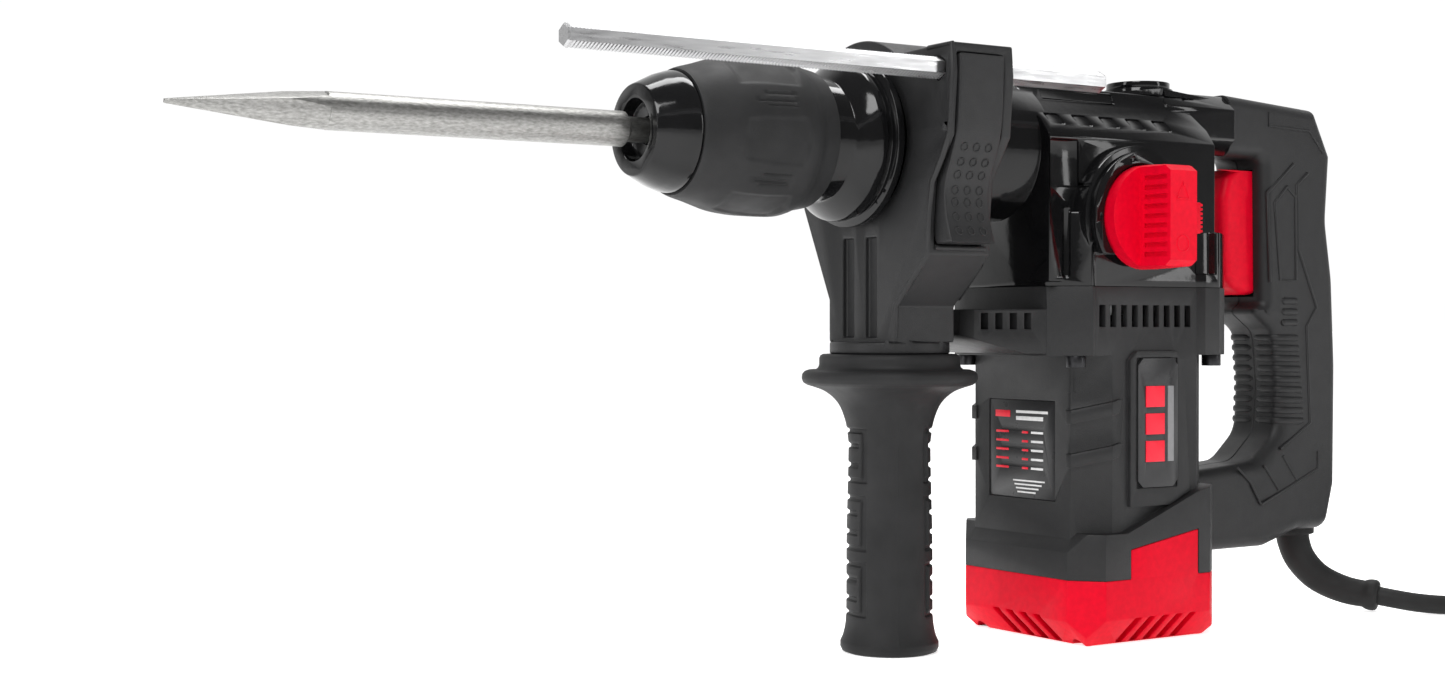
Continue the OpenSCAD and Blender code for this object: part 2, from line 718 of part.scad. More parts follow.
// ---- chuck, spindle and hammer ----
module point_chisel() {
    tip_x = shoulder_x - chisel_l;
    color([0.5, 0.5, 0.5]) difference() {
        union() {
            intersection() {
                union() {
                    turned_x([[0, tip_x], [chisel_d / 2, tip_x], [chisel_d / 2, shoulder_x - 1.5],
                        [shank_d / 2, shoulder_x], [shank_d / 2, shoulder_x + 1], [0, shoulder_x + 1]]);
                }
                // two wedges across each other leave a square point
                translate([0, 0, axis_h]) rotate([20, 0, 0]) intersection() {
                    point_wedge(tip_x);
                    rotate([90, 0, 0]) point_wedge(tip_x);
                }
            }
            cyl_x(shank_d / 2, shoulder_x, shoulder_x + shank_l);
        }
        // closed grooves of the locking balls
        for (s = [-1, 1]) {
            cyl_x(ball_r + 0.1, ball_x - 1, ball_x + 10, s * ball_c);
            translate([ball_x - 1, s * ball_c, axis_h]) sphere(r = ball_r + 0.1, $fn = 48);
            translate([ball_x + 10, s * ball_c, axis_h]) sphere(r = ball_r + 0.1, $fn = 48);
        }
        // open drive slots
        for (s = [-1, 1]) box([-210, -1.4, axis_h + s * 5.5 - 2], [-175, 1.4, axis_h + s * 5.5 + 2]);
    }
}

// A wedge that opens from the tip to the full bar over the length of the point
module point_wedge(tip_x)
    prism_y([[tip_x, -0.7], [tip_x, 0.7], [tip_x + 58, 6.4], [tip_x + 60, 9], [shoulder_x + 2, 9],
        [shoulder_x + 2, -9], [tip_x + 60, -9], [tip_x + 58, -6.4]], -10, 10);

module nose_cap() {
    color([0.03, 0.03, 0.03]) turned_x([[5.6, -231], [5.6, -234], [11.5, -234.5], [12.5, nose_x],
        [18.2, nose_x], [19.9, -236.5], [22.5, -231], [24.2, -225.5], [24.4, seam_x - 0.2],
        [20.5, seam_x - 0.2], [20.5, -226], [spindle_r, -226], [spindle_r, -231]]);
}

module chuck_sleeve() {
    color([0.12, 0.12, 0.125]) difference() {
        turned_x([[25.2, seam_x], [26.2, -220], [27.8, -214], [29.5, -208.4], [31, -203], [32, -196],
            [sleeve_r, -188], [sleeve_r, -176], [31.4, -171.5], [30, -167.5], [28.4, sleeve_end_x],
            [26.2, sleeve_end_x], [26.2, -170], [23, -176], [22.2, -190], [22.2, -214], [21, seam_x]]);
        // flat facets between broad ribs
        for (i = [0:9]) translate([0, 0, axis_h]) rotate([i * 36 + 9, 0, 0])
            prism_x([[-5, 31.2], [5, 31.2], [7, 34], [-7, 34]], -206, -172);
    }
}

module lock_ring() {
    color("silver") turned_x([[spindle_r + 0.1, -205], [22.15, -205], [22.15, -195], [17, -194],
        [spindle_r + 0.1, -194]]);
}

module locking_balls() {
    color("silver") for (s = [-1, 1]) translate([ball_x, s * ball_c, axis_h]) sphere(r = ball_r, $fn = 48);
}

module chuck_spring() {
    color("silver") translate([-193.9, 0, axis_h]) rotate([0, 90, 0])
        coil_spring(14, 1.8, 4, spring_seat_x + 193.8);
}

module spindle() {
    color([0.55, 0.55, 0.57]) difference() {
        union() {
            difference() {
                turned_x([[0, -231], [spindle_r, -231], [spindle_r, spring_seat_x], [18, spring_seat_x],
                    [18, -166], [14, -166], [14, -142], [tube_r, -140], [tube_r, -4], [0, -4]]);
                turned_x([[0, -232], [shank_d / 2 + 0.1, -232], [shank_d / 2 + 0.1, -176], [8.05, -176],
                    [8.05, -136], [12.1, -132], [12.1, -118], [tube_bore, -116], [tube_bore, -3], [0, -3]]);
            }
            // keys that drive the shank
            for (s = [-1, 1]) box([-207, -1.1, axis_h + s * 6 - 2], [-180, 1.1, axis_h + s * 6 + 2]);
        }
        cyl_y(ball_r + 0.05, -12, 12, ball_x, axis_h);
        // air ports of the hammer tube
        for (a = [60:120:300]) translate([-58, 0, axis_h]) rotate([a, 0, 0]) cylinder(r = 1.5, h = 20);
    }
}

module face_gear() {
    color("silver") {
        difference() {
            cyl_x(face_r + 1.4, face_x - 9, face_x - 0.9);
            cyl_x(tube_r, face_x - 10, face_x);
        }
        for (i = [0:face_gear_z - 1]) translate([0, 0, axis_h]) rotate([(i + 0.5) * 360 / face_gear_z, 0, 0])
            prism_y([[face_x - 0.95, face_r - 1.6], [face_x - 0.95, face_r + 1.4], [face_x + 0.6, face_r + 1.4],
                [face_x + 0.6, face_r - 1.6]], -0.5, 0.5);
    }
}

module anvil() {
    color([0.4, 0.4, 0.42]) turned_x([[0, -175.95], [7, -175.95], [8, -174.5], [8, -135.4], [12, -131.4],
        [12, -128], [9, -126], [9, -111], [0, -110]]);
}

module striker() {
    color([0.5, 0.5, 0.52]) turned_x([[0, -98], [8, -98], [8, -93], [tube_bore - 0.05, -90],
        [tube_bore - 0.05, -82], [tube_bore - 1.2, -82], [tube_bore - 1.2, -79], [tube_bore - 0.05, -79],
        [tube_bore - 0.05, -66], [0, -66]]);
}

module piston() {
    color([0.7, 0.7, 0.72]) difference() {
        turned_x([[0, -50], [tube_bore - 0.05, -50], [tube_bore - 0.05, -47], [tube_bore - 1, -47],
            [tube_bore - 1, -44.5], [tube_bore - 0.05, -44.5], [tube_bore - 0.05, -8], [12.2, -8],
            [12.2, -42], [0, -42]]);
        cyl_z(2.6, axis_h - 15, axis_h + 15, wrist_x);
    }
}

module wrist_pin() {
    color("silver") cyl_z(2.5, axis_h - 4.5, axis_h + 4.5, wrist_x);
}

module connecting_rod() {
    color([0.65, 0.65, 0.67]) difference() {
        union() {
            cyl_z(7, axis_h - 3.5, axis_h + 3.5, pin_x);
            cyl_z(4.2, axis_h - 3.5, axis_h + 3.5, wrist_x);
            box([wrist_x, -2.5, axis_h - 3], [pin_x, 2.5, axis_h + 3]);
        }
        cyl_z(3.55, axis_h - 5, axis_h + 5, pin_x);
        cyl_z(2.5, axis_h - 5, axis_h + 5, wrist_x);
    }
}

module crank_gear() {
    color([0.6, 0.6, 0.62]) {
        cyl_z(6, split_h + 2.3, axis_h - 11 + eps, crank_x);
        translate([crank_x, 0, gear_z0]) rotate([0, 0, 180 / wheel_z])
            linear_extrude(gear_z1 - gear_z0) gear_outline(wheel_z, 0.7, 1.1);
        cyl_z(12, axis_h - 11, axis_h - 5, crank_x);
        cyl_z(3.5, axis_h - 5 - eps, axis_h + 5, pin_x);
    }
}

module drive_gear() {
    color([0.6, 0.6, 0.62]) {
        cyl_z(5, split_h + 2.3, 178, drive_x);
        cyl_z(4.5, 178 - eps, 190.4, drive_x);
        translate([drive_x, 0, gear_z0]) rotate([0, 0, 180 / wheel_z])
            linear_extrude(gear_z1 - gear_z0) gear_outline(wheel_z, 0.7, 1.1);
        translate([drive_x, 0, 190.4 - eps]) linear_extrude(3.2) gear_outline(face_pinion_z, 0.6, 1);
    }
}

// ---- side handle ----
module handle_bracket() {
    color([0.12, 0.12, 0.125]) difference() {
        union() {
            cyl_x(43, bracket_x0, bracket_x1);
            prism_x([[-47, 168], [-24, 147], [-24, 132], [22, 132], [22, 150], [41, 190], [41, 216], [-47, 216]],
                bracket_x0, bracket_x1);
            // block that guides the depth rod
            prism_x([[-30, 251], [-61, 252], [-62, 240], [-60, 215], [-49, 198], [-46, 168], [-30, 168]],
                bracket_x0, bracket_x1);
            // round steps over the grip
            cyl_z(25.5, 127, 132.1, grip_x);
        }
        cyl_x(32, bracket_x0 - 1, bracket_x1 + 1);
        // slot of the clamp band's tails and of the bolt
        box([-121, -8.2, 152], [-107, 8.2, 186]);
        cyl_z(4.1, 126, 153, grip_x);
        // channel of the depth rod
        hex_bar(rod_af + 0.5, bracket_x0 - 1, bracket_x1 + 1, rod_y, rod_z);
        // pocket of the lever, open on the near side
        prism_x([[-70, 248], [-57.5, 248], [-57.5, 238], [-55, 214], [-43, 197], [-40.5, 171], [-70, 171]],
            -127, -103);
        cyl_x(1.5, bracket_x0 - 1, bracket_x1 + 1, lever_y, lever_z);
        // channels in the front
        for (y = [-8, 8]) box([bracket_x0 - 1, y - 4, 134], [bracket_x0 + 2.4, y + 4, 176]);
        // hollow under the shelf
        prism_x([[-42, 164], [-27, 150], [-27, 164]], -127, -94);
    }
}

module clamp_band() {
    color("silver") difference() {
        union() {
            cyl_x(31.9, -119, -109);
            box([-119, -7.8, 170], [-109, 7.8, 190]);
        }
        cyl_x(barrel_r + 0.08, -120, -108);
        box([-120, -5, 168], [-108, 5, 192]);
    }
}

module clamp_bolt() {
    color("silver") {
        cyl_z(4, 60, 166, grip_x);
        box([-118.5, -8, 160], [-109.5, 8, 169.9]);
    }
}

module side_grip() {
    color([0.1, 0.1, 0.1]) difference() {
        translate([grip_x, 0, 0]) rotate_extrude() polygon([[0, 0], [19, 0], [21, 2], [21, 5], [19, 9],
            [18.5, 20], [grip_r + 0.8, 50], [grip_r, 84], [18.5, 96], [22, 106], [29, 112],
            [grip_flange_r - 1, 114.5], [grip_flange_r, 116.5], [grip_flange_r - 1, 120], [30, 120.6],
            [30, 125.5], [29, 126.98], [0, 126.98]]);
        cyl_z(4.05, 59, 128, grip_x);
        for (s = [-1, 1], z = [20, 50, 80]) translate([grip_x + s * 18.5, 0, z]) box([-1.8, -4, -8], [1.8, 4, 8]);
    }
}

module depth_rod() {
    color("silver") hex_bar(rod_af, rod_x0, rod_x0 + rod_l, rod_y, rod_z);
}

module rod_lever() {
    color([0.13, 0.13, 0.135]) difference() {
        prism_x([[-57.9, 247.5], [-62.5, 247.5], [-62.5, 236], [-60.5, 214], [-53, 198], [-53, 184],
            [-57, 172], [-47, 172], [-43.5, 184], [-45.5, 197], [-55.5, 214], [-57.9, 238]], -126.5, -103.5);
        cyl_x(1.55, -127, -103, lever_y, lever_z);
    }
}

module lever_pin() {
    color("silver") cyl_x(1.5, -129.5, -98.5, lever_y, lever_z);
}

// ---- cord ----
module cord() {
    color([0.05, 0.05, 0.05]) {
        tube(smooth(cord_route, 4), cord_r, cord_r, [0.86, 0.5, 0]);
        on_coil() tube(smooth(tail_route, 4), cord_r, cord_r, [0, 0, 1]);
    }
}

module on_coil() {
    translate([coil_c.x, coil_c.y, 0]) rotate([0, 0, coil_turn]) children();
}

module cord_coil() {
    color([0.05, 0.05, 0.05]) on_coil() difference() {
        cylinder(r = coil_ro, h = coil_h);
        translate([0, 0, -1]) cylinder(r = coil_ri, h = coil_h + 2);
    }
}

module plug_body() {
    color([0.05, 0.05, 0.05]) on_coil() translate([plug_x, plug_y, plug_z]) rotate([0, 90, 0])
        rotate_extrude() polygon([[0, 0], [5.5, 0], [7, 24], [13, 28], [16, 38], [18, 42], [18, 57], [0, 57]]);
}

module plug_pins() {
    color("silver") on_coil() for (s = [-1, 1])
        cyl_x(2.4, plug_x + 57, plug_x + 76, plug_y + s * 9.5, plug_z);
}

gear_housing();
front_collar();
grease_cap();
motor_housing();
end_cap();
bearing_plate();
housing_screws();
end_cap_screws();
nameplate();
side_badge();
mode_dial();
mode_knob();
mode_lock_button();
mode_spindle();
handle_left_shell();
handle_right_shell();
handle_screws();
trigger();
trigger_pin();
trigger_spring();
switch_body();
cable_clamp();
strain_relief();
point_chisel();
nose_cap();
chuck_sleeve();
lock_ring();
locking_balls();
chuck_spring();
spindle();
spindle_bearing();
spindle_bush();
face_gear();
anvil();
striker();
piston();
wrist_pin();
connecting_rod();
crank_gear();
crank_bearings();
drive_gear();
drive_bearings();
armature();
commutator();
cooling_fan();
motor_bearings();
stator();
brush_holders();
carbon_brushes();
handle_bracket();
clamp_band();
clamp_bolt();
side_grip();
depth_rod();
rod_lever();
lever_pin();
cord();
cord_coil();
plug_body();
plug_pins();
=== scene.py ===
import json
import math

import bmesh
import bpy
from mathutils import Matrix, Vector

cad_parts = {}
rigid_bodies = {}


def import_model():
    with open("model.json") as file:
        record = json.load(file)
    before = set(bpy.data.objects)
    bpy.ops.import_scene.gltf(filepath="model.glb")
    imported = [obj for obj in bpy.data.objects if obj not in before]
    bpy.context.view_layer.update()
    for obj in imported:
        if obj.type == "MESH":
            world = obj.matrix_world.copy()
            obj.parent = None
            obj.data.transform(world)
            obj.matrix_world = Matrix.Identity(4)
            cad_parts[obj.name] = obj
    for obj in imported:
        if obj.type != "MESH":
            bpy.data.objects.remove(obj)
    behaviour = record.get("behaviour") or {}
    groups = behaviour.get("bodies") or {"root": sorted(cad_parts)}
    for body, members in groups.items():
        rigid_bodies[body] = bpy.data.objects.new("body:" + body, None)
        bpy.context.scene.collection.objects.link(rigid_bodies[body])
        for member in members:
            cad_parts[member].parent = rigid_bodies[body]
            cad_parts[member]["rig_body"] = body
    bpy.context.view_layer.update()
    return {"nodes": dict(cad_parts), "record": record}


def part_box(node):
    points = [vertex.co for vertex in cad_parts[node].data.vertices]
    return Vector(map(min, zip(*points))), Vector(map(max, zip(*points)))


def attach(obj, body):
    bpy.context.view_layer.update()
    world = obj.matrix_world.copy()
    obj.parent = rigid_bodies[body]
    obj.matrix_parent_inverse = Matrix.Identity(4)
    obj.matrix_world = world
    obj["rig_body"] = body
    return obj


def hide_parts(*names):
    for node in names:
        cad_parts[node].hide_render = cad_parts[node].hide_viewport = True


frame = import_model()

# Looks of an L-shaped hammer, in metres. +Z up, the tool points along -X, the operator's left is -Y.
MM = 0.001
NODES = frame["nodes"]
SLOT_OF = {p["node"]: p["material_slot"] for p in frame["record"]["subparts"]}
AXIS_Z = (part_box("spindle")[0].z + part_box("spindle")[1].z) / 2
GRIP_X = (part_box("side_grip")[0].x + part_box("side_grip")[1].x) / 2


def new_object(name, data):
    """An object in the scene that holds data."""
    item = bpy.data.objects.new(name, data)
    bpy.context.scene.collection.objects.link(item)
    return item


# ---- camera ----
YAW = math.radians(32.6)
TILT = math.radians(0.27)
CAMERA_AT = (-0.6342, -0.6811, 0.1382)
FOCAL_LENGTH = 49.83
SENSOR_WIDTH = 36


def make_camera():
    data = bpy.data.cameras.new("camera")
    data.sensor_width = SENSOR_WIDTH
    data.lens = FOCAL_LENGTH
    cam = new_object("camera", data)
    cam.location = CAMERA_AT
    cam.rotation_euler = (math.pi / 2 - TILT, 0, -YAW)
    bpy.context.scene.camera = cam
    bpy.context.scene.view_settings.view_transform = "Standard"


make_camera()


# ---- materials ----
# The range that most of a noise texture's values are in
NOISE_LOW, NOISE_HIGH = 0.3, 0.7


class Nodes:
    """A material's node tree, with short calls for the nodes used here."""

    def __init__(self, name, color, rough, metal=0.0, specular=0.5):
        self.material = bpy.data.materials.new(name)
        self.material.use_nodes = True
        self.tree = self.material.node_tree
        self.shader = self.tree.nodes["Principled BSDF"]
        self.shader.inputs["Base Color"].default_value = (*color, 1)
        self.shader.inputs["Roughness"].default_value = rough
        self.shader.inputs["Metallic"].default_value = metal
        self.shader.inputs["Specular IOR Level"].default_value = specular
        self.place = self.tree.nodes.new("ShaderNodeTexCoord").outputs["Object"]

    def link(self, a, b):
        self.tree.links.new(a, b)

    def stretched(self, scale):
        node = self.tree.nodes.new("ShaderNodeMapping")
        node.inputs["Scale"].default_value = scale
        self.link(self.place, node.inputs["Vector"])
        return node.outputs["Vector"]

    def noise(self, scale, detail=3.0, stretch=None):
        node = self.tree.nodes.new("ShaderNodeTexNoise")
        node.inputs["Scale"].default_value = scale
        node.inputs["Detail"].default_value = detail
        self.link(self.stretched(stretch) if stretch else self.place, node.inputs["Vector"])
        return node.outputs["Fac"]

    def spread(self, value, low, high):
        node = self.tree.nodes.new("ShaderNodeMapRange")
        node.inputs["From Min"].default_value = NOISE_LOW
        node.inputs["From Max"].default_value = NOISE_HIGH
        node.inputs["To Min"].default_value = low
        node.inputs["To Max"].default_value = high
        self.link(value, node.inputs["Value"])
        return node.outputs["Result"]

    def ramp(self, value, dark, light):
        node = self.tree.nodes.new("ShaderNodeValToRGB")
        node.color_ramp.elements[0].position = NOISE_LOW
        node.color_ramp.elements[1].position = NOISE_HIGH
        node.color_ramp.elements[0].color = (*dark, 1)
        node.color_ramp.elements[1].color = (*light, 1)
        self.link(value, node.inputs["Fac"])
        self.link(node.outputs["Color"], self.shader.inputs["Base Color"])

    def rough(self, value, low, high):
        self.link(self.spread(value, low, high), self.shader.inputs["Roughness"])

    def bump(self, value, depth, strength=1.0):
        node = self.tree.nodes.new("ShaderNodeBump")
        node.inputs["Distance"].default_value = depth
        node.inputs["Strength"].default_value = strength
        self.link(value, node.inputs["Height"])
        self.link(node.outputs["Normal"], self.shader.inputs["Normal"])


def tone(color, factor):
    return tuple(min(1.0, c * factor) for c in color)


def moulded_plastic(name, color, rough, grain, depth, specular=0.3):
    """Moulded plastic: spark-eroded grain, and a faint change of sheen over larger patches."""
    m = Nodes(name, color, rough, specular=specular)
    m.ramp(m.noise(400), tone(color, 0.93), tone(color, 1.07))
    m.rough(m.noise(160), rough - 0.03, rough + 0.04)
    m.bump(m.noise(grain, 2.0), depth)
    return m.material


def soft_rubber(name, color):
    m = Nodes(name, color, 0.62, specular=0.25)
    m.ramp(m.noise(60), tone(color, 0.85), tone(color, 1.2))
    m.rough(m.noise(70), 0.52, 0.7)
    m.bump(m.noise(2600, 2.0), 0.00006)
    return m.material


def gloss_paint():
    """Black enamel over a die casting: the casting's slow waviness shows in the reflections."""
    m = Nodes("gloss_black", (0.004, 0.004, 0.0045), 0.16, specular=0.3)
    m.ramp(m.noise(40), (0.003, 0.003, 0.0033), (0.006, 0.006, 0.0064))
    m.rough(m.noise(120, 4.0), 0.07, 0.14)
    m.bump(m.noise(150, 2.0), 0.00012, 0.7)
    return m.material


def ground_steel(name, color, rough, stretch, depth=0.00004):
    m = Nodes(name, color, rough, metal=1.0)
    m.ramp(m.noise(900, 4.0, stretch), tone(color, 0.9), tone(color, 1.06))
    m.rough(m.noise(700, 4.0, stretch), rough - 0.06, rough + 0.1)
    m.bump(m.noise(1500, 3.0, stretch), depth)
    return m.material


def pitted_steel():
    """The chisel: sandblasted and drawn, with dull patches and small pits."""
    m = Nodes("tool_steel", (0.46, 0.455, 0.44), 0.4, metal=1.0)
    m.ramp(m.noise(1300, 5.0, (0.35, 1, 1)), (0.2, 0.198, 0.19), (0.36, 0.357, 0.345))
    m.rough(m.noise(900, 4.0), 0.34, 0.5)
    m.bump(m.noise(1500, 6.0), 0.0001, 0.7)
    return m.material


def speckled(name, color, rough, metal, scale):
    m = Nodes(name, color, rough, metal=metal)
    m.ramp(m.noise(scale, 4.0), tone(color, 0.75), tone(color, 1.2))
    m.rough(m.noise(scale * 0.6), rough - 0.06, rough + 0.08)
    m.bump(m.noise(scale * 2), 0.00005)
    return m.material


BLACK = (0.013, 0.013, 0.0136)
MATERIALS = {
    "gloss_black": gloss_paint(),
    "moulded_black": moulded_plastic("moulded_black", BLACK, 0.47, 2200, 0.00009),
    "rubber_black": soft_rubber("rubber_black", (0.014, 0.014, 0.0145)),
    "red_plastic": moulded_plastic("red_plastic", (0.64, 0.0005, 0.016), 0.45, 2600, 0.00003, 0.1),
    "tool_steel": pitted_steel(),
    "steel": ground_steel("steel", (0.6, 0.6, 0.61), 0.28, (1, 0.2, 0.2)),
    "black_steel": ground_steel("black_steel", (0.035, 0.035, 0.037), 0.36, (1, 1, 1)),
    "zinc": ground_steel("zinc", (0.43, 0.43, 0.435), 0.3, (0.1, 1, 1)),
    "copper": speckled("copper", (0.7, 0.32, 0.12), 0.35, 1.0, 500),
    "bronze": speckled("bronze", (0.6, 0.4, 0.16), 0.4, 1.0, 700),
    "aluminium": speckled("aluminium", (0.68, 0.69, 0.7), 0.42, 1.0, 400),
    "lamination": ground_steel("lamination", (0.3, 0.3, 0.32), 0.45, (0.05, 0.05, 4)),
    "carbon": speckled("carbon", (0.03, 0.03, 0.03), 0.6, 0.0, 900),
    "label": moulded_plastic("label", (0.02, 0.02, 0.021), 0.3, 1800, 0.00003),
    "nylon": moulded_plastic("nylon", (0.09, 0.09, 0.095), 0.5, 1800, 0.00006),
    "cord_rubber": soft_rubber("cord_rubber", (0.012, 0.012, 0.012)),
}
PRINT_RED = moulded_plastic("print_red", (0.78, 0.008, 0.03), 0.42, 2000, 0.00002)
PRINT_GREY = moulded_plastic("print_grey", (0.2, 0.2, 0.205), 0.42, 2000, 0.00002)
PRINT_WHITE = moulded_plastic("print_white", (0.72, 0.72, 0.72), 0.45, 2000, 0.00002)


# ---- making pieces ----
def scaled(points):
    """Points given in millimetres, as vectors in metres."""
    return [Vector(p) * MM for p in points]


def angles(count, closed=False):
    """Angles evenly round a circle, and the first one again if closed."""
    return [2 * math.pi * k / count for k in range(count + 1 if closed else count)]


def new_piece(name, verts, faces, slot, body, smooth=30.0, material=None):
    """A mesh piece in the shared frame, riding on a body."""
    mesh = bpy.data.meshes.new(name)
    mesh.from_pydata([tuple(v) for v in verts], [], faces)
    piece = new_object(name, mesh)
    finish_mesh(piece, smooth)
    mesh.materials.append(material or MATERIALS[slot])
    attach(piece, body)
    return piece


def finish_mesh(piece, smooth):
    """Outward faces, shaded smooth except over edges sharper than the angle."""
    work = bmesh.new()
    work.from_mesh(piece.data)
    bmesh.ops.remove_doubles(work, verts=work.verts, dist=1e-6)
    bmesh.ops.recalc_face_normals(work, faces=work.faces)
    limit = math.radians(smooth)
    for edge in work.edges:
        edge.smooth = len(edge.link_faces) == 2 and edge.calc_face_angle(0) < limit
    for face in work.faces:
        face.smooth = True
    work.to_mesh(piece.data)
    work.free()


def apply_modifiers(piece):
    graph = bpy.context.evaluated_depsgraph_get()
    mesh = bpy.data.meshes.new_from_object(piece.evaluated_get(graph))
    piece.modifiers.clear()
    piece.data = mesh


def rounded_copy(node, width, segments=2, merge=True):
    """Stands for a CAD node with the same shape, its edges rounded as a mould or a casting leaves them. merge
    joins the triangles of each flat face first."""
    source = NODES[node]
    piece = new_object(node + "_body", source.data.copy())
    work = bmesh.new()
    work.from_mesh(piece.data)
    bmesh.ops.remove_doubles(work, verts=work.verts, dist=2e-6)
    if merge:
        bmesh.ops.dissolve_limit(work, angle_limit=math.radians(0.4), verts=work.verts, edges=work.edges)
    bmesh.ops.recalc_face_normals(work, faces=work.faces)
    work.to_mesh(piece.data)
    work.free()
    bevel = piece.modifiers.new("edges", "BEVEL")
    bevel.width = width * MM
    bevel.segments = segments
    bevel.limit_method = "ANGLE"
    bevel.angle_limit = math.radians(28)
    bevel.use_clamp_overlap = False
    bevel.miter_outer = "MITER_ARC"
    bevel.harden_normals = False
    apply_modifiers(piece)
    finish_mesh(piece, 35.0)
    piece.data.materials.clear()
    piece.data.materials.append(MATERIALS[SLOT_OF[node]])
    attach(piece, source["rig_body"])
    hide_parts(node)


def rings_to_faces(rings, count):
    """Faces of a loft through rings of count points each, closed at both ends."""
    faces = []
    for i in range(rings - 1):
        for k in range(count):
            n = (k + 1) % count
            faces.append((i * count + k, i * count + n, (i + 1) * count + n, (i + 1) * count + k))
    faces.append(tuple(range(count))[::-1])
    faces.append(tuple((rings - 1) * count + k for k in range(count)))
    return faces


def smooth_route(points, steps):
    """A Catmull-Rom curve through points."""
    p = [Vector(q) for q in points]
    out = []
    for i in range(len(p) - 1):
        a, b, c, d = p[max(i - 1, 0)], p[i], p[i + 1], p[min(i + 2, len(p) - 1)]
        for k in range(steps):
            t = k / steps
            out.append(0.5 * (2 * b + (c - a) * t + (2 * a - 5 * b + 4 * c - d) * t * t
                              + (3 * b - a - 3 * c + d) * t ** 3))
    return out + [p[-1]]


def sweep(points, section, across):
    """Vertices and faces of a section of (sideways, outward) offsets carried along points; across is the
    direction that outward turns towards at each point, or one direction for all."""
    verts = []
    for i, p in enumerate(points):
        ahead = (points[min(i + 1, len(points) - 1)] - points[max(i - 1, 0)]).normalized()
        out = Vector(across[i] if isinstance(across, list) else across)
        side = ahead.cross(out).normalized()
        out = side.cross(ahead)
        verts += [p + side * s + out * o for s, o in section(i / (len(points) - 1))]
    return verts, rings_to_faces(len(points), len(verts) // len(points))


def bead_section(width, height, sink=0.4):
    """A low rounded bead that starts a little under the surface."""
    half = width / 2
    arc = [(half * math.cos(math.pi * k / 6), height * math.sin(math.pi * k / 6)) for k in range(7)]
    shape = [(half, -sink)] + arc + [(-half, -sink)]
    return lambda t: [(s * MM, o * MM) for s, o in shape]


def join(parts):
    """One list of vertices and faces from several."""
    verts, faces = [], []
    for v, f in parts:
        faces += [tuple(i + len(verts) for i in face) for face in f]
        verts += v
    return verts, faces


def slab(lo, hi, edge):
    """A box with chamfered edges on all sides, in millimetres."""
    xs, ys, zs = zip(lo, hi)
    work = bmesh.new()
    corners = [work.verts.new((x * MM, y * MM, z * MM)) for x in xs for y in ys for z in zs]
    for face in ((0, 1, 3, 2), (4, 6, 7, 5), (0, 4, 5, 1), (2, 3, 7, 6), (0, 2, 6, 4), (1, 5, 7, 3)):
        work.faces.new([corners[i] for i in face])
    bmesh.ops.bevel(work, geom=work.edges[:], offset=edge * MM, segments=2, affect="EDGES", profile=0.5)
    work.verts.index_update()
    verts = [v.co.copy() for v in work.verts]
    faces = [tuple(v.index for v in f.verts) for f in work.faces]
    work.free()
    return verts, faces


# ---- cord ----
# Points are in millimetres. The boot starts in the handle, and the run where the boot ends.
CORD_D = 0.009
BOOT = [(136, 0, 40), (136, -0.5, 33), (137.5, -4, 24), (142, -11, 15.5), (149, -22, 10), (157, -35, 8)]
RUN = [(157, -35, 8), (161.4, -41.9, 6.8), (167, -48.6, 5.6), (174.6, -55.9, 4.8), (184, -63.4, 4.6),
       (194.5, -70.7, 4.6), (207, -78.8, 4.6), (224, -89, 4.6), (241.7, -99, 4.6), (259.8, -108.3, 4.6),
       (278, -117, 4.6)]
# From the coil's top turn to the plug, about the coil's centre and before COIL_TURN turns it
TAIL = [(-31, 36.9, 22.5), (-39.7, 27, 23.4), (-45.4, 15, 25.7), (-47.4, 2, 29.1), (-46, -10.8, 33.2),
        (-40.6, -22.7, 37.4), (-31.6, -32.2, 41.1), (-20.2, -38.4, 43.8), (-7, -41, 45)]
# Angles in degrees: the coil's own turn, where its first point is, one step, and a climb to the next layer
COIL_TURN = 115
COIL_START = 245
COIL_STEP = 10
COIL_CLIMB = 80
COIL_TURNS = 8
# How far a spiral goes inwards, and the height of each layer's middle
COIL_DEPTH = 25
COIL_LAYERS = [4.6, 13.55, 22.5]
COIL_LO, COIL_HI = (corner * 1000 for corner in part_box("cord_coil"))
COIL_C = (COIL_LO + COIL_HI) / 2


def on_coil(point):
    angle = math.radians(COIL_TURN)
    x, y, z = point
    return (COIL_C.x + x * math.cos(angle) - y * math.sin(angle),
            COIL_C.y + x * math.sin(angle) + y * math.cos(angle), z)


def coil_turns():
    """The coil, in millimetres: a spiral in, a spiral out and a spiral in again, each lying on the last."""
    pitch = CORD_D * 1000
    outer = (COIL_HI.x - COIL_LO.x) / 2 - pitch / 2
    inner = outer - COIL_DEPTH
    spiral = (outer - inner) / pitch * 360
    points = []
    for turned in range(COIL_STEP, COIL_TURNS * 360, COIL_STEP):
        layer = min(len(COIL_LAYERS) - 1, int(turned // (spiral + COIL_CLIMB)))
        along = turned - layer * (spiral + COIL_CLIMB)
        t = min(1.0, along / spiral)
        r = inner + (outer - inner) * t if layer == 1 else outer + (inner - outer) * t
        z = COIL_LAYERS[layer]
        if along > spiral:
            up = (along - spiral) / COIL_CLIMB
            z += (COIL_LAYERS[layer + 1] - z) * up * up * (3 - 2 * up)
        angle = math.radians(COIL_START + turned)
        points.append((COIL_C.x + r * math.cos(angle), COIL_C.y + r * math.sin(angle), z))
    return points


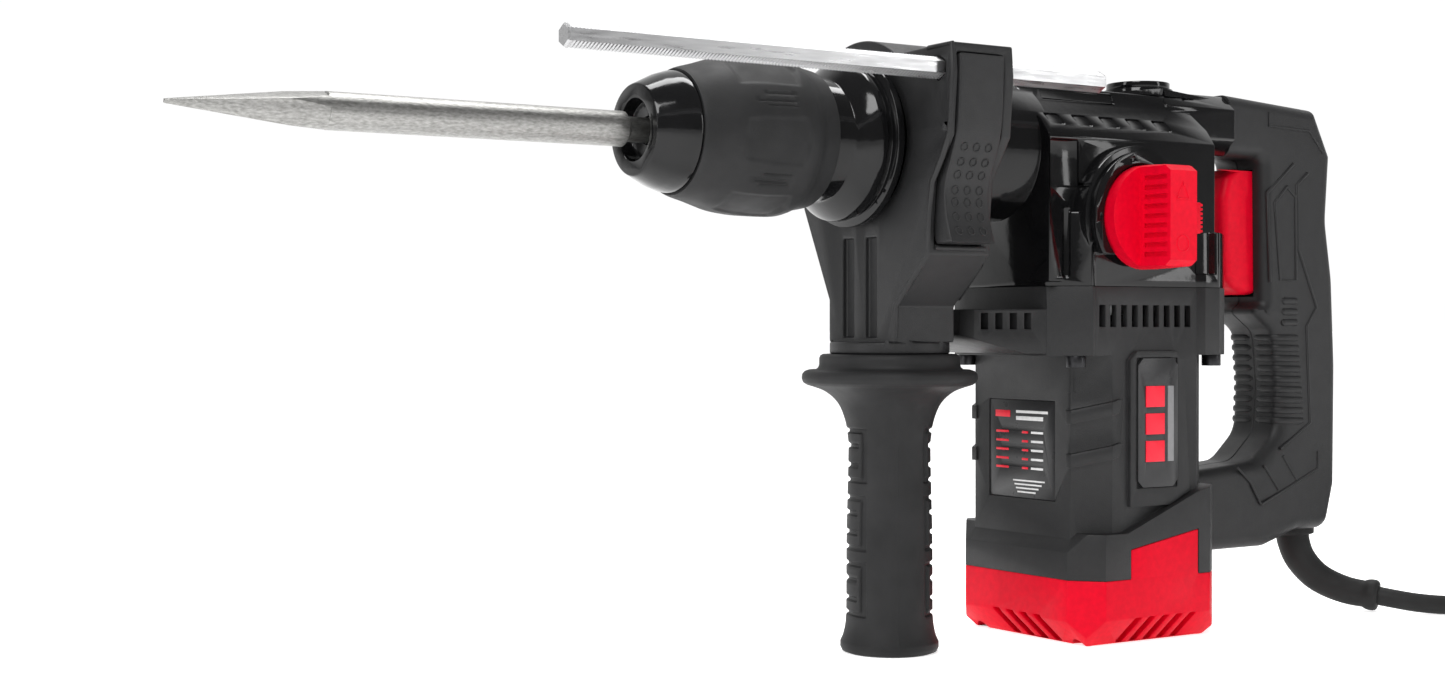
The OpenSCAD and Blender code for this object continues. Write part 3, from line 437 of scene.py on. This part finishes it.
def make_cord():
    route = [p * MM for p in smooth_route(RUN, 3)]
    route += scaled(coil_turns())
    route += [p * MM for p in smooth_route([on_coil(p) for p in TAIL], 3)]
    curve = bpy.data.curves.new("mains_cord", "CURVE")
    curve.dimensions = "3D"
    curve.bevel_depth = CORD_D / 2
    curve.bevel_resolution = 5
    curve.use_fill_caps = True
    spline = curve.splines.new("POLY")
    spline.points.add(len(route) - 1)
    for point, place in zip(spline.points, route):
        point.co = (*place, 1)
    spline.use_smooth = True
    piece = new_object("mains_cord", curve)
    curve.materials.append(MATERIALS["cord_rubber"])
    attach(piece, "housing")
    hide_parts("cord", "cord_coil")
    return piece


def make_boot():
    """The strain relief: a tapered sleeve with a collar at the handle and a lip where it ends."""
    thick, thin = 8.2, 6.3
    collar, collar_drop, collar_end, collar_fade = 10.2, 1.2, 0.13, 0.03
    lip, lip_start = 1.3, 0.9

    def section(t):
        radius = thick - (thick - thin) * t
        if t < collar_end:
            radius = collar - collar_drop * max(0.0, t - (collar_end - collar_fade)) / collar_fade
        if t > lip_start:
            along = min(1.0, (t - lip_start) / (1 - lip_start))
            radius = thin + lip * math.sin(math.pi * along) ** 0.5
        return [(radius * MM * math.cos(a), radius * MM * math.sin(a)) for a in angles(28)]

    points = [p * MM for p in smooth_route(BOOT, 12)]
    body = sweep(points, section, (0.86, 0.5, 0))
    piece = new_piece("strain_relief_boot", *body, "cord_rubber", "housing", 50.0)
    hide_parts("strain_relief")


make_boot()
cord = make_cord()


# ---- stage and light ----
FLOOR_HALF = 60
FLOOR_GLOW = 0.7
ROOM_LIGHT = 0.22
BACKDROP_LIGHT = 1.02
BACKDROP_FADE = (0.15, 0.58)


def make_stage():
    m = Nodes("floor", (0.9, 0.9, 0.9), 0.7, specular=0.2)
    m.shader.inputs["Emission Color"].default_value = (1, 1, 1, 1)
    m.shader.inputs["Emission Strength"].default_value = FLOOR_GLOW
    m.rough(m.noise(6), 0.65, 0.75)
    mesh = bpy.data.meshes.new("floor")
    corners = [(x * FLOOR_HALF, y * FLOOR_HALF, 0) for x, y in ((-1, -1), (1, -1), (1, 1), (-1, 1))]
    mesh.from_pydata(corners, [], [(0, 1, 2, 3)])
    mesh.materials.append(m.material)
    floor = new_object("floor", mesh)


def make_world():
    """A dim room with a bright backdrop behind the machine, as seen from the camera's side."""
    world = bpy.data.worlds.new("studio")
    world.use_nodes = True
    nodes = world.node_tree.nodes
    link = world.node_tree.links.new
    toward = nodes.new("ShaderNodeVectorMath")
    toward.operation = "DOT_PRODUCT"
    toward.inputs[1].default_value = (math.sin(YAW), math.cos(YAW), 0)
    link(nodes.new("ShaderNodeTexCoord").outputs["Generated"], toward.inputs[0])
    fade = nodes.new("ShaderNodeMapRange")
    fade.interpolation_type = "SMOOTHSTEP"
    fade.inputs["From Min"].default_value = BACKDROP_FADE[0]
    fade.inputs["From Max"].default_value = BACKDROP_FADE[1]
    fade.inputs["To Min"].default_value = ROOM_LIGHT
    fade.inputs["To Max"].default_value = BACKDROP_LIGHT
    link(toward.outputs["Value"], fade.inputs["Value"])
    nodes["Background"].inputs["Color"].default_value = (1, 1, 1, 1)
    link(fade.outputs["Result"], nodes["Background"].inputs["Strength"])
    bpy.context.scene.world = world


def softbox(name, place, target, width, height, watts):
    data = bpy.data.lights.new(name, "AREA")
    data.shape = "RECTANGLE"
    data.size = width
    data.size_y = height
    data.energy = watts
    lamp = new_object(name, data)
    lamp.location = place
    lamp.rotation_euler = (Vector(target) - Vector(place)).to_track_quat("-Z", "Y").to_euler()


make_stage()
make_world()
softbox("key", (-1.1, -0.9, 1.4), (0, 0, 0.15), 0.8, 0.8, 22)
softbox("right_box", (1.2, -1.6, 0.6), (0, 0, 0.2), 0.3, 1.1, 6)
softbox("left_strip", (-1.6, 0.1, 0.5), (-0.1, 0, 0.15), 0.25, 1.3, 7)
softbox("top", (0.1, 0.3, 1.5), (0, 0, 0.15), 1.0, 0.4, 14)


# ---- outlines with rounded corners ----
def line_crossing(p, d, q, e):
    """Where the line through p along d meets the line through q along e."""
    cross = d[0] * e[1] - d[1] * e[0]
    t = ((q[0] - p[0]) * e[1] - (q[1] - p[1]) * e[0]) / cross
    return p[0] + d[0] * t, p[1] + d[1] * t


def rounded_outline(corners, insets=None):
    """Points of an outline that runs anticlockwise through (a, b, radius) corners, each edge moved inwards by
    its own inset. An edge has the number of the corner it starts at."""
    count = len(corners)
    insets = insets or [0.0] * count
    steps = 5
    edges = []
    for i, (x, y, _) in enumerate(corners):
        x1, y1, _ = corners[(i + 1) % count]
        length = math.hypot(x1 - x, y1 - y)
        d = ((x1 - x) / length, (y1 - y) / length)
        edges.append(((x - d[1] * insets[i], y + d[0] * insets[i]), d))
    out = []
    for i, (_, _, radius) in enumerate(corners):
        (p, d), (q, e) = edges[i - 1], edges[i]
        corner = line_crossing(p, d, q, e)
        turn = math.atan2(d[0] * e[1] - d[1] * e[0], d[0] * e[0] + d[1] * e[1])
        shift = (insets[i - 1] + insets[i]) / 2
        r = max(0.05, radius - shift) if turn > 0 else radius + shift
        reach = r * math.tan(abs(turn) / 2)
        side = 1 if turn > 0 else -1
        start = (corner[0] - d[0] * reach, corner[1] - d[1] * reach)
        centre = (start[0] - d[1] * r * side, start[1] + d[0] * r * side)
        for k in range(steps + 1):
            a = turn * k / steps
            vx, vy = start[0] - centre[0], start[1] - centre[1]
            out.append((centre[0] + vx * math.cos(a) - vy * math.sin(a),
                        centre[1] + vx * math.sin(a) + vy * math.cos(a)))
    return out


def edge_round(radius):
    """(depth from the face, inset) pairs of a round edge, from the face inwards."""
    steps = 6
    turns = [math.pi / 2 * k / steps for k in range(steps + 1)]
    return [(radius * (1 - math.cos(a)), radius * (1 - math.sin(a))) for a in turns]


def soft_prism(corners, place, lo, hi, edge, weights=None):
    """A prism with rounded rims. place turns (a, b, depth) into a point, weights scale each edge's inset."""
    weights = weights or [1.0] * len(corners)
    levels = [(lo + d, i) for d, i in edge_round(edge)]
    levels += [(hi - d, i) for d, i in reversed(edge_round(edge))]
    verts = []
    for depth, inset in levels:
        ring = rounded_outline(corners, [inset * w for w in weights])
        verts += scaled(place(a, b, depth) for a, b in ring)
    return verts, rings_to_faces(len(levels), len(verts) // len(levels))


def cut(piece, solids):
    """Takes solids, each a list of vertices and faces, out of a piece."""
    for verts, faces in solids:
        mesh = bpy.data.meshes.new("cutter")
        mesh.from_pydata([tuple(v) for v in verts], [], faces)
        cutter = new_object("cutter", mesh)
        difference = piece.modifiers.new("cut", "BOOLEAN")
        difference.object = cutter
        difference.solver = "EXACT"
        apply_modifiers(piece)
        bpy.data.objects.remove(cutter)
    finish_mesh(piece, 30.0)


def rod(x, y0, y1, z, radius):
    """A cylinder along Y."""
    turns = angles(24)
    verts = scaled((x + radius * math.cos(a), y, z + radius * math.sin(a)) for y in (y0, y1) for a in turns)
    return verts, rings_to_faces(2, len(turns))


# ---- main handle ----
GRIP_OUTLINE = [(38.5, 33, 0.1), (100, 33.5, 14), (122, 40, 8), (143, 40, 8), (149, 62, 10), (149.6, 120, 60),
                (147.5, 162, 60), (143, 190, 30), (145.5, 222, 4), (134, 244, 4), (74, 248, 0.1),
                (74, 219, 0.1), (97, 219, 4), (98, 150, 3), (92, 146, 2), (107, 136, 9), (109.5, 112, 60),
                (108, 88, 14), (92, 74, 14), (38.5, 70, 0.1)]
# How much of the side's rounding each stretch takes: none where the handle meets the housings
GRIP_WEIGHTS = [1, 1, 1, 1, 1, 1, 1, 1, 1, 1, 0, 1, 1, 1, 1.4, 2, 2, 1.6, 1, 0]
# Half widths of the handle, where it meets the housings and past FULL_X
ROOT_W, SHELL_W = 14, 17
ROOT_X, FULL_X = 44, 60
SWITCH_POCKET = ((90, -9.3, 153), (104, 9.3, 214))
# The screws' heads sit in counterbores of the right shell
BORE_FLOOR, BORE_R = 13, 3.6
SCREWS = [(60, 48), (110, 48), (138, 70), (137, 140), (132, 228), (90, 234)]
ROUNDING = 6
RIB_W, RIB_H = 3.3, 0.9
RIB_SLOPE = 0.03
SEAM_CLEAR = 1.2


def narrowed(x, y):
    """The handle is narrower where it meets the housings."""
    along = min(1.0, max(0.0, (x - ROOT_X) / (FULL_X - ROOT_X)))
    return y * (ROOT_W + (SHELL_W - ROOT_W) * along) / SHELL_W


def shell_rings(side):
    """One shell from the seam outwards, as (depth, inset) levels of the handle's outline."""
    seam_gap, seam_edge, flat = 0.02, 0.5, 5
    levels = [(seam_gap, seam_edge), (seam_edge, 0.0), (flat, 0.0), (SHELL_W - ROUNDING, 0.0)]
    steps = 8
    for k in range(1, steps + 1):
        a = math.pi / 2 * k / steps
        levels.append((SHELL_W - ROUNDING + ROUNDING * math.sin(a), ROUNDING * (1 - math.cos(a))))
    verts = []
    for depth, inset in levels:
        weights = GRIP_WEIGHTS if depth > seam_edge else [1 if w else 0 for w in GRIP_WEIGHTS]
        for x, z in rounded_outline(GRIP_OUTLINE, [inset * w for w in weights]):
            verts.append(Vector((x, side * narrowed(x, depth), z)) * MM)
    return verts, rings_to_faces(len(levels), len(verts) // len(levels))


def make_shell(side, node):
    piece = new_piece(node + "_moulded", *shell_rings(side), "moulded_black", "housing", 32.0)
    holes = [slab(*SWITCH_POCKET, 0.05)]
    if side > 0:
        holes += [rod(x, BORE_FLOOR, SHELL_W + 1, z, BORE_R) for x, z in SCREWS]
    cut(piece, holes)
    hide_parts(node)


def front_x(z):
    """Where the front of the grip is at a height between the trigger and the lower corner."""
    ring = [(x, h) for x, h in rounded_outline(GRIP_OUTLINE) if x < 112 and 76 < h < 142]
    for (x0, z0), (x1, z1) in zip(ring, ring[1:]):
        if z1 <= z <= z0:
            return x0 + (x1 - x0) * (z0 - z) / max(1e-6, z0 - z1)
    return ring[-1][0]


def grip_rib(side, z, end_x):
    """A rib that wraps round the front of the grip from the seam to a point on its side."""
    points = []
    out = []
    start = front_x(z)
    side_x = start + 2 * ROUNDING
    wrap_steps = 12
    side_steps = 6
    for k in range(wrap_steps + 1):
        a = math.pi / 2 * k / wrap_steps
        y = SEAM_CLEAR + (SHELL_W - SEAM_CLEAR) * math.sin(a)
        over = max(0.0, y - (SHELL_W - ROUNDING)) / ROUNDING
        x = start + 2 * ROUNDING * (1 - math.sqrt(max(0.0, 1 - over * over)))
        points.append(Vector((x, side * y, z - RIB_SLOPE * (x - start))) * MM)
        lean = math.asin(min(1.0, over))
        out.append(Vector((-math.cos(lean), side * math.sin(lean), 0)))
    for k in range(1, side_steps + 1):
        x = side_x + (end_x - side_x) * k / side_steps
        points.append(Vector((x, side * SHELL_W, z - RIB_SLOPE * (x - start))) * MM)
        out.append(Vector((0, side, 0)))
    return sweep(points, tapered_bead(RIB_W, RIB_H, 0.08), out)


def tapered_bead(width, height, taper):
    """A bead whose ends round off over the first and last part of its length."""
    full = bead_section(width, height, 0.5)(0)

    def section(t):
        near = min(t, 1 - t) / taper
        size = math.sqrt(max(0.02, 1 - (1 - min(1.0, near)) ** 2))
        return [(s * size, o * size if o > 0 else o) for s, o in full]

    return section


def make_grip_ribs():
    """Three short ribs on each side at the top of the grip, and nine that wrap round its front below them."""
    top_z, top_pitch, top_x, top_length, steps = 151, 5.2, 109, 11.5, 10
    low_z, low_pitch, low_end, low_lean = 133.5, 5, 120, 0.55
    parts = []
    for side in (-1, 1):
        for i in range(3):
            z = top_z - top_pitch * i
            points = scaled((top_x + top_length * k / steps, side * SHELL_W, z) for k in range(steps + 1))
            parts.append(sweep(points, tapered_bead(RIB_W, RIB_H, 0.12), (0, side, 0)))
        for i in range(9):
            parts.append(grip_rib(side, low_z - low_pitch * i, low_end + low_lean * i))
    new_piece("grip_ribs", *join(parts), "moulded_black", "housing", 60.0)


def side_lines(name, routes, width, height):
    """Thin raised lines on both sides of the handle, from (x, z) points."""
    section = bead_section(width, height)
    parts = []
    for side in (-1, 1):
        for r in routes:
            points = scaled((x, side * (SHELL_W + 0.02), z) for x, z in r)
            parts.append(sweep(points, section, (0, side, 0)))
    new_piece(name, *join(parts), "moulded_black", "housing", 60.0)


def make_handle():
    make_shell(-1, "handle_left_shell")
    make_shell(1, "handle_right_shell")
    make_grip_ribs()
    side_lines("grip_border", [
        [(127, 213), (119.5, 207), (120.5, 176), (133.5, 148), (126.5, 139), (129, 92), (108, 80)],
        [(112.5, 206), (104, 198), (108, 161), (119, 161), (118.6, 201), (112.5, 206)],
        [(117, 217), (99, 202.5), (101, 160)],
    ], 1.6, 0.7)
    side_lines("grip_facets", [
        [(79, 72), (87.6, 65), (95, 54)], [(97, 72.5), (107, 60.5)], [(110, 76.5), (119.5, 64.7)],
        [(95, 54), (134.5, 69.7), (134.5, 78)],
        [(100, 241), (100, 234.5), (128, 233.5), (138, 223)],
    ], 1.2, 0.6)


make_handle()


# ---- trigger ----
def make_trigger():
    corners = [(86, 214, 4), (81, 210, 5), (78, 200, 12), (78, 180, 14), (80, 163, 8), (86, 157, 6),
               (92, 154, 4), (99, 154, 1), (101.5, 203, 1), (108, 206, 0.5), (108, 213.5, 0.5),
               (96, 213.5, 0.5)]
    weights = [1, 1, 1, 1, 1, 1, 0.6, 0.1, 0.1, 0.1, 0.1, 0.4]
    half_width = 9
    body = soft_prism(corners, lambda a, b, d: (a, d, b), -half_width, half_width, 4, weights)
    piece = new_piece("trigger_shell", *body, "red_plastic", "trigger", 40.0)
    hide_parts("trigger")


make_trigger()


# ---- turned pieces with a pattern ----
def step(value, edge):
    """0 outside and 1 inside, over a soft edge."""
    t = min(1.0, max(0.0, value / edge + 0.5))
    return t * t * (3 - 2 * t)


def turned(profile, place, columns, shape, spacing):
    """A turned skin. profile is a list of (radius, along), place turns (radius, angle, along) into a point,
    shape is what a radius loses at (angle, along), and spacing is the distance between rows."""
    rows = []
    for (r0, a0), (r1, a1) in zip(profile, profile[1:]):
        count = max(1, round(math.hypot(r1 - r0, a1 - a0) / spacing))
        rows += [(r0 + (r1 - r0) * k / count, a0 + (a1 - a0) * k / count) for k in range(count)]
    rows.append(profile[-1])
    verts = []
    for radius, along in rows:
        for k in range(columns):
            angle = 360 * k / columns
            verts.append(Vector(place(radius - shape(angle, along), math.radians(angle), along)) * MM)
    return verts, rings_to_faces(len(rows), columns)


def smoothed(profile, steps):
    """A smooth curve through the (a, b) points of a profile."""
    return [(p.x, p.y) for p in smooth_route([(a, b, 0) for a, b in profile], steps)]


def make_side_grip():
    seam = 244
    pad_depth, pad_reach, pad_half = 1.15, 46, 11.4
    island_reach, island_half = 36.5, 9.6
    notch_reach, notch_z = 30, 4.1

    def pads(angle, z):
        """Three recessed frames on each side of the seam, each round a raised pad with two grooves."""
        depth = 0.0
        off = abs((angle - seam + 180) % 360 - 180)
        away = abs(off - 90)
        for centre in (27.5, 55.5, 84):
            v = z - centre
            pad = step(pad_reach - away, 2.2) * step(pad_half - abs(v), 0.9)
            island = step(island_reach - away, 2.2) * step(island_half - abs(v), 0.9)
            groove = max(step(1.0 - abs(v - notch_z), 0.8), step(1.0 - abs(v + notch_z), 0.8))
            notch = groove * step(notch_reach - away, 3)
            depth = max(depth, pad * (pad_depth - pad_depth * island * (1 - notch)))
        return depth - 0.16 * step(0.9 - off, 1.0) * step(100 - z, 3)

    def place(r, a, z):
        return GRIP_X * 1000 + r * math.cos(a), r * math.sin(a), z

    low = [(0, 0.02), (18.4, 0.02), (20.2, 0.7), (21, 2.4), (21, 4.6)]
    waist = smoothed([(21, 4.6), (19.6, 8), (18.6, 14), (18.4, 24), (18.3, 50), (17.5, 84), (17.8, 92),
                      (19, 99), (22, 106), (27.5, 111), (35.4, 113.9)], 6)
    top = [(35.4, 113.9), (36.9, 114.9), (37.5, 116.6), (37.3, 118.4), (36.2, 119.7), (34.5, 120.3),
           (31.4, 120.5), (30.4, 121.3), (30, 122.6), (30, 125.2), (29.5, 126.4), (28.4, 126.98), (0, 126.98)]
    body = turned(low[:-1] + waist[:-1] + top, place, 288, pads, 0.7)
    piece = new_piece("side_grip_rubber", *body, "rubber_black", "side_grip", 40.0)
    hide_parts("side_grip")


make_side_grip()


def on_axis(r, a, x):
    """A point about the tool axis. Angle 0 is straight up, and 270 is the near side."""
    return x, -r * math.sin(a), AXIS_Z * 1000 + r * math.cos(a)


def make_sleeve():
    lo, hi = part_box("chuck_sleeve")
    x0 = lo.x * 1000
    x1 = hi.x * 1000
    lobe, lobe_depth, line_depth = 60, 1.15, 0.75

    def pattern(angle, x):
        """Six hollowed finger flats, with two fine grooves between each pair."""
        off = abs((angle - 90 - 8 + lobe / 2) % lobe - lobe / 2)
        half = 14 + 3 * min(1.0, (x - x0) / 40)
        ends = step(x - (x0 + 17), 3) * step(x0 + 45.5 - x - 0.12 * off, 1.6)
        depth = lobe_depth * ends * step(half - off, 1.6) * (0.45 + 0.55 * (1 - (off / half) ** 2))
        for edge in (25.5, 29.2):
            groove = step(0.75 - abs(off - edge), 0.8)
            depth += line_depth * groove * step(x - (x0 + 22 + (29.2 - edge)), 3) * step(x0 + 40 - x, 3)
        return depth

    skin = smoothed([(25.2, x0), (26.2, x0 + 2.4), (27.8, x0 + 8.4), (29.5, x0 + 14), (31, x0 + 19.4),
                     (32, x0 + 26.4), (32.4, x0 + 34.4), (32.4, x0 + 46.4), (31.5, x0 + 51), (30, x0 + 55),
                     (28.6, x1)], 6)
    profile = [(22.2, x0 + 8), (23.4, x0 + 0.2), (24.6, x0)] + skin
    profile += [(27.6, x1), (26.2, x1), (26.2, x0 + 52), (23, x0 + 46), (22.2, x0 + 32), (22.2, x0 + 8)]
    body = turned(profile, on_axis, 240, pattern, 0.8)
    piece = new_piece("chuck_sleeve_rubber", *body, "rubber_black", "sleeve", 40.0)
    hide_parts("chuck_sleeve")


make_sleeve()


# ---- depth rod ----
def make_depth_rod():
    """A six-sided bar with fine teeth along its top and bottom edges, and chamfered ends."""
    lo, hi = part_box("depth_rod")
    middle = (lo + hi) / 2
    radius = (hi.z - lo.z) / 2
    tooth = 0.6 * MM
    chamfer = 0.6 * MM
    count = int((hi.x - lo.x) / (0.75 * MM))
    verts = []
    for i in range(count + 1):
        x = lo.x + (hi.x - lo.x) * i / count
        from_end = min(i, count - i)
        for k in range(6):
            r = radius - (chamfer if from_end == 0 else 0.0)
            if k in (0, 3) and from_end > 1 and i % 2:
                r -= tooth
            a = math.radians(60 * k)
            verts.append(Vector((x, middle.y + r * math.sin(a), middle.z + r * math.cos(a))))
    piece = new_piece("depth_rod_bar", verts, rings_to_faces(count + 1, 6), "zinc", "depth_rod", 20.0)
    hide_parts("depth_rod")


make_depth_rod()


# ---- rod lever ----
LEVER_FACE = [(-62.5, 247.5), (-62.5, 240), (-62, 228), (-60.8, 217), (-57.5, 206.5), (-54, 198),
              (-53, 190.5), (-54.3, 181), (-57, 172.5)]
LEVER_BACK = [(-47, 172), (-44.5, 178), (-43.5, 184), (-44, 191), (-45.5, 197), (-50.5, 206), (-55.5, 214),
              (-57, 224), (-57.9, 238), (-57.9, 247.5)]
DOT_R = 1.6
DOT_TOP = 209.5
DOT_ROWS = 7
DOT_ROW_PITCH = 5.3
DOT_COLUMN_PITCH = 6.3


def make_lever_dots(face, middle):
    """Seven rows of three raised rings, standing square to the lever's face."""
    parts = []
    for row in range(DOT_ROWS):
        z = DOT_TOP - DOT_ROW_PITCH * row
        near = min(range(1, len(face) - 1), key=lambda i: abs(face[i][1] - z))
        (y0, z0), (y1, z1) = face[near - 1], face[near + 1]
        along = Vector((0, y1 - y0, z1 - z0)).normalized()
        out = Vector((0, along.z, -along.y))
        out = -out if out.y > 0 else out
        for column in (-1, 0, 1):
            centre = Vector((middle + DOT_COLUMN_PITCH * column, *face[near]))
            ring = [(centre + Vector((DOT_R * math.cos(a), 0, 0)) + along * DOT_R * math.sin(a)) * MM
                    for a in angles(20, closed=True)]
            parts.append(sweep(ring, bead_section(0.7, 0.45), tuple(out)))
    new_piece("lever_dots", *join(parts), "moulded_black", "rod_lever", 60.0)


def make_lever():
    face = smoothed(LEVER_FACE, 5)
    corners = [(y, z, 0.05) for y, z in face] + [(y, z, 0.8) for y, z in LEVER_BACK]
    lo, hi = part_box("rod_lever")
    body = soft_prism(corners, lambda a, b, d: (d, a, b), lo.x * 1000, hi.x * 1000, 0.9)
    piece = new_piece("rod_lever_body", *body, "moulded_black", "rod_lever", 40.0)
    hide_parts("rod_lever")
    make_lever_dots(face, (lo.x + hi.x) * 500)


make_lever()


# ---- rim of the side handle's bracket ----
BRACKET_FRONT = -129.4


def make_bracket_rim():
    """A round bead along the bracket's front edge on the near side, and a frame on the foot below it."""
    x = BRACKET_FRONT
    edge = [(x, -46, 251), (x, -60.6, 251.3), (x, -61.4, 240), (x, -59.5, 216), (x, -55, 207),
            (x, -48.6, 197), (x, -46.6, 184), (x, -45.6, 168), (x, -35, 157.5), (x, -24.2, 147.4),
            (x, -23.8, 134)]
    # Outwards from the edge: over the top first, then down the side
    across = [Vector((-0.7, 0, 0.7)), Vector((-0.7, -0.5, 0.5))] + [Vector((-0.7, -0.7, 0))] * (len(edge) - 2)
    rim = sweep(scaled(edge), bead_section(2.4, 0.9, 1.0), across)
    frame_line = scaled([(-101, -47, 170.5), (-127, -47, 170.5)])
    foot_frame = sweep(frame_line, bead_section(2.2, 1.0, 1.0), (0, -1, 0))
    new_piece("bracket_rim", *join([rim, foot_frame]), "moulded_black", "side_handle", 50.0)


make_bracket_rim()


# ---- printed and embossed trim ----
PLATE_FACE = -39.5
PLATE_PRINT = -39.72
BADGE_FACE = -44.4


def make_badge_print():
    """Three plain red blocks and a grey bar beside them."""
    red = []
    for i in range(3):
        z = 79.4 + 12 * i
        red.append(slab((-7.6, -45, z), (3.6, BADGE_FACE, z + 9.2), 0.15))
    grey = slab((5.6, -44.9, 79.4), (9.2, BADGE_FACE, 112.6), 0.1)
    new_piece("badge_bars_red", *join(red), "label", "housing", 30.0, PRINT_RED)
    new_piece("badge_bars_grey", *grey, "label", "housing", 30.0, PRINT_GREY)


def make_plate_print():
    """Plain bars on the front plate: a column of red and white rows between a heading and a stepped foot."""
    def bar(y0, y1, z, height):
        return slab((PLATE_PRINT, y0, z), (PLATE_FACE, y1, z + height), 0.03)

    red = [bar(8, 18, 98, 3)]
    white = [bar(-17, 4, 100, 1.2), bar(-14, 4, 96.8, 1.8)]
    for i in range(5):
        z = 91 - 4 * i
        red += [bar(9, 17.5, z, 1), bar(-4, 0, z, 1)]
        white.append(bar(-14, -6, z, 1))
    for i in range(4):
        white.append(bar(-15 + 2 * i, 6 - i, 69.5 - 1.7 * i, 0.7))
    new_piece("plate_bars_red", *join(red), "label", "housing", 30.0, PRINT_RED)
    new_piece("plate_bars_white", *join(white), "label", "housing", 30.0, PRINT_WHITE)


def make_knob_marks():
    """A plain triangle and a ring on the knob's ridge."""
    y = -70.5
    x = -11.4
    half, low, high = 3.6, 193, 200
    ring_r, ring_z = 3.4, 174
    triangle = [(x - half, y, low), (x + half, y, low), (x, y, high), (x - half, y, low)]
    ring = [(x + ring_r * math.cos(a), y, ring_z + ring_r * math.sin(a)) for a in angles(24, closed=True)]
    section = bead_section(0.9, 0.35, 0.3)
    parts = [sweep(scaled(route), section, (0, -1, 0)) for route in (triangle, ring)]
    new_piece("knob_marks", *join(parts), "red_plastic", "mode_knob", 50.0)


make_badge_print()
make_plate_print()
make_knob_marks()


# ---- CAD nodes that keep their shape ----
for node, piece in NODES.items():
    if piece.material_slots:
        for holder in piece.material_slots:
            holder.material = MATERIALS[SLOT_OF[node]]
    else:
        piece.data.materials.append(MATERIALS[SLOT_OF[node]])

# Edge rounding in millimetres
ROUNDED = {
    "gear_housing": 0.7,
    "front_collar": 0.3,
    "grease_cap": 0.4,
    "motor_housing": 0.3,
    "end_cap": 0.7,
    "mode_dial": 0.35,
    "mode_lock_button": 0.3,
    "nose_cap": 0.3,
    "handle_bracket": 0.8,
    "housing_screws": 0.25,
    "nameplate": 0.15,
    "side_badge": 0.2,
    "handle_screws": 0.2,
    "point_chisel": 0.2,
}
for node, width in ROUNDED.items():
    rounded_copy(node, width, 3 if node == "handle_bracket" else 2, merge=node != "motor_housing")
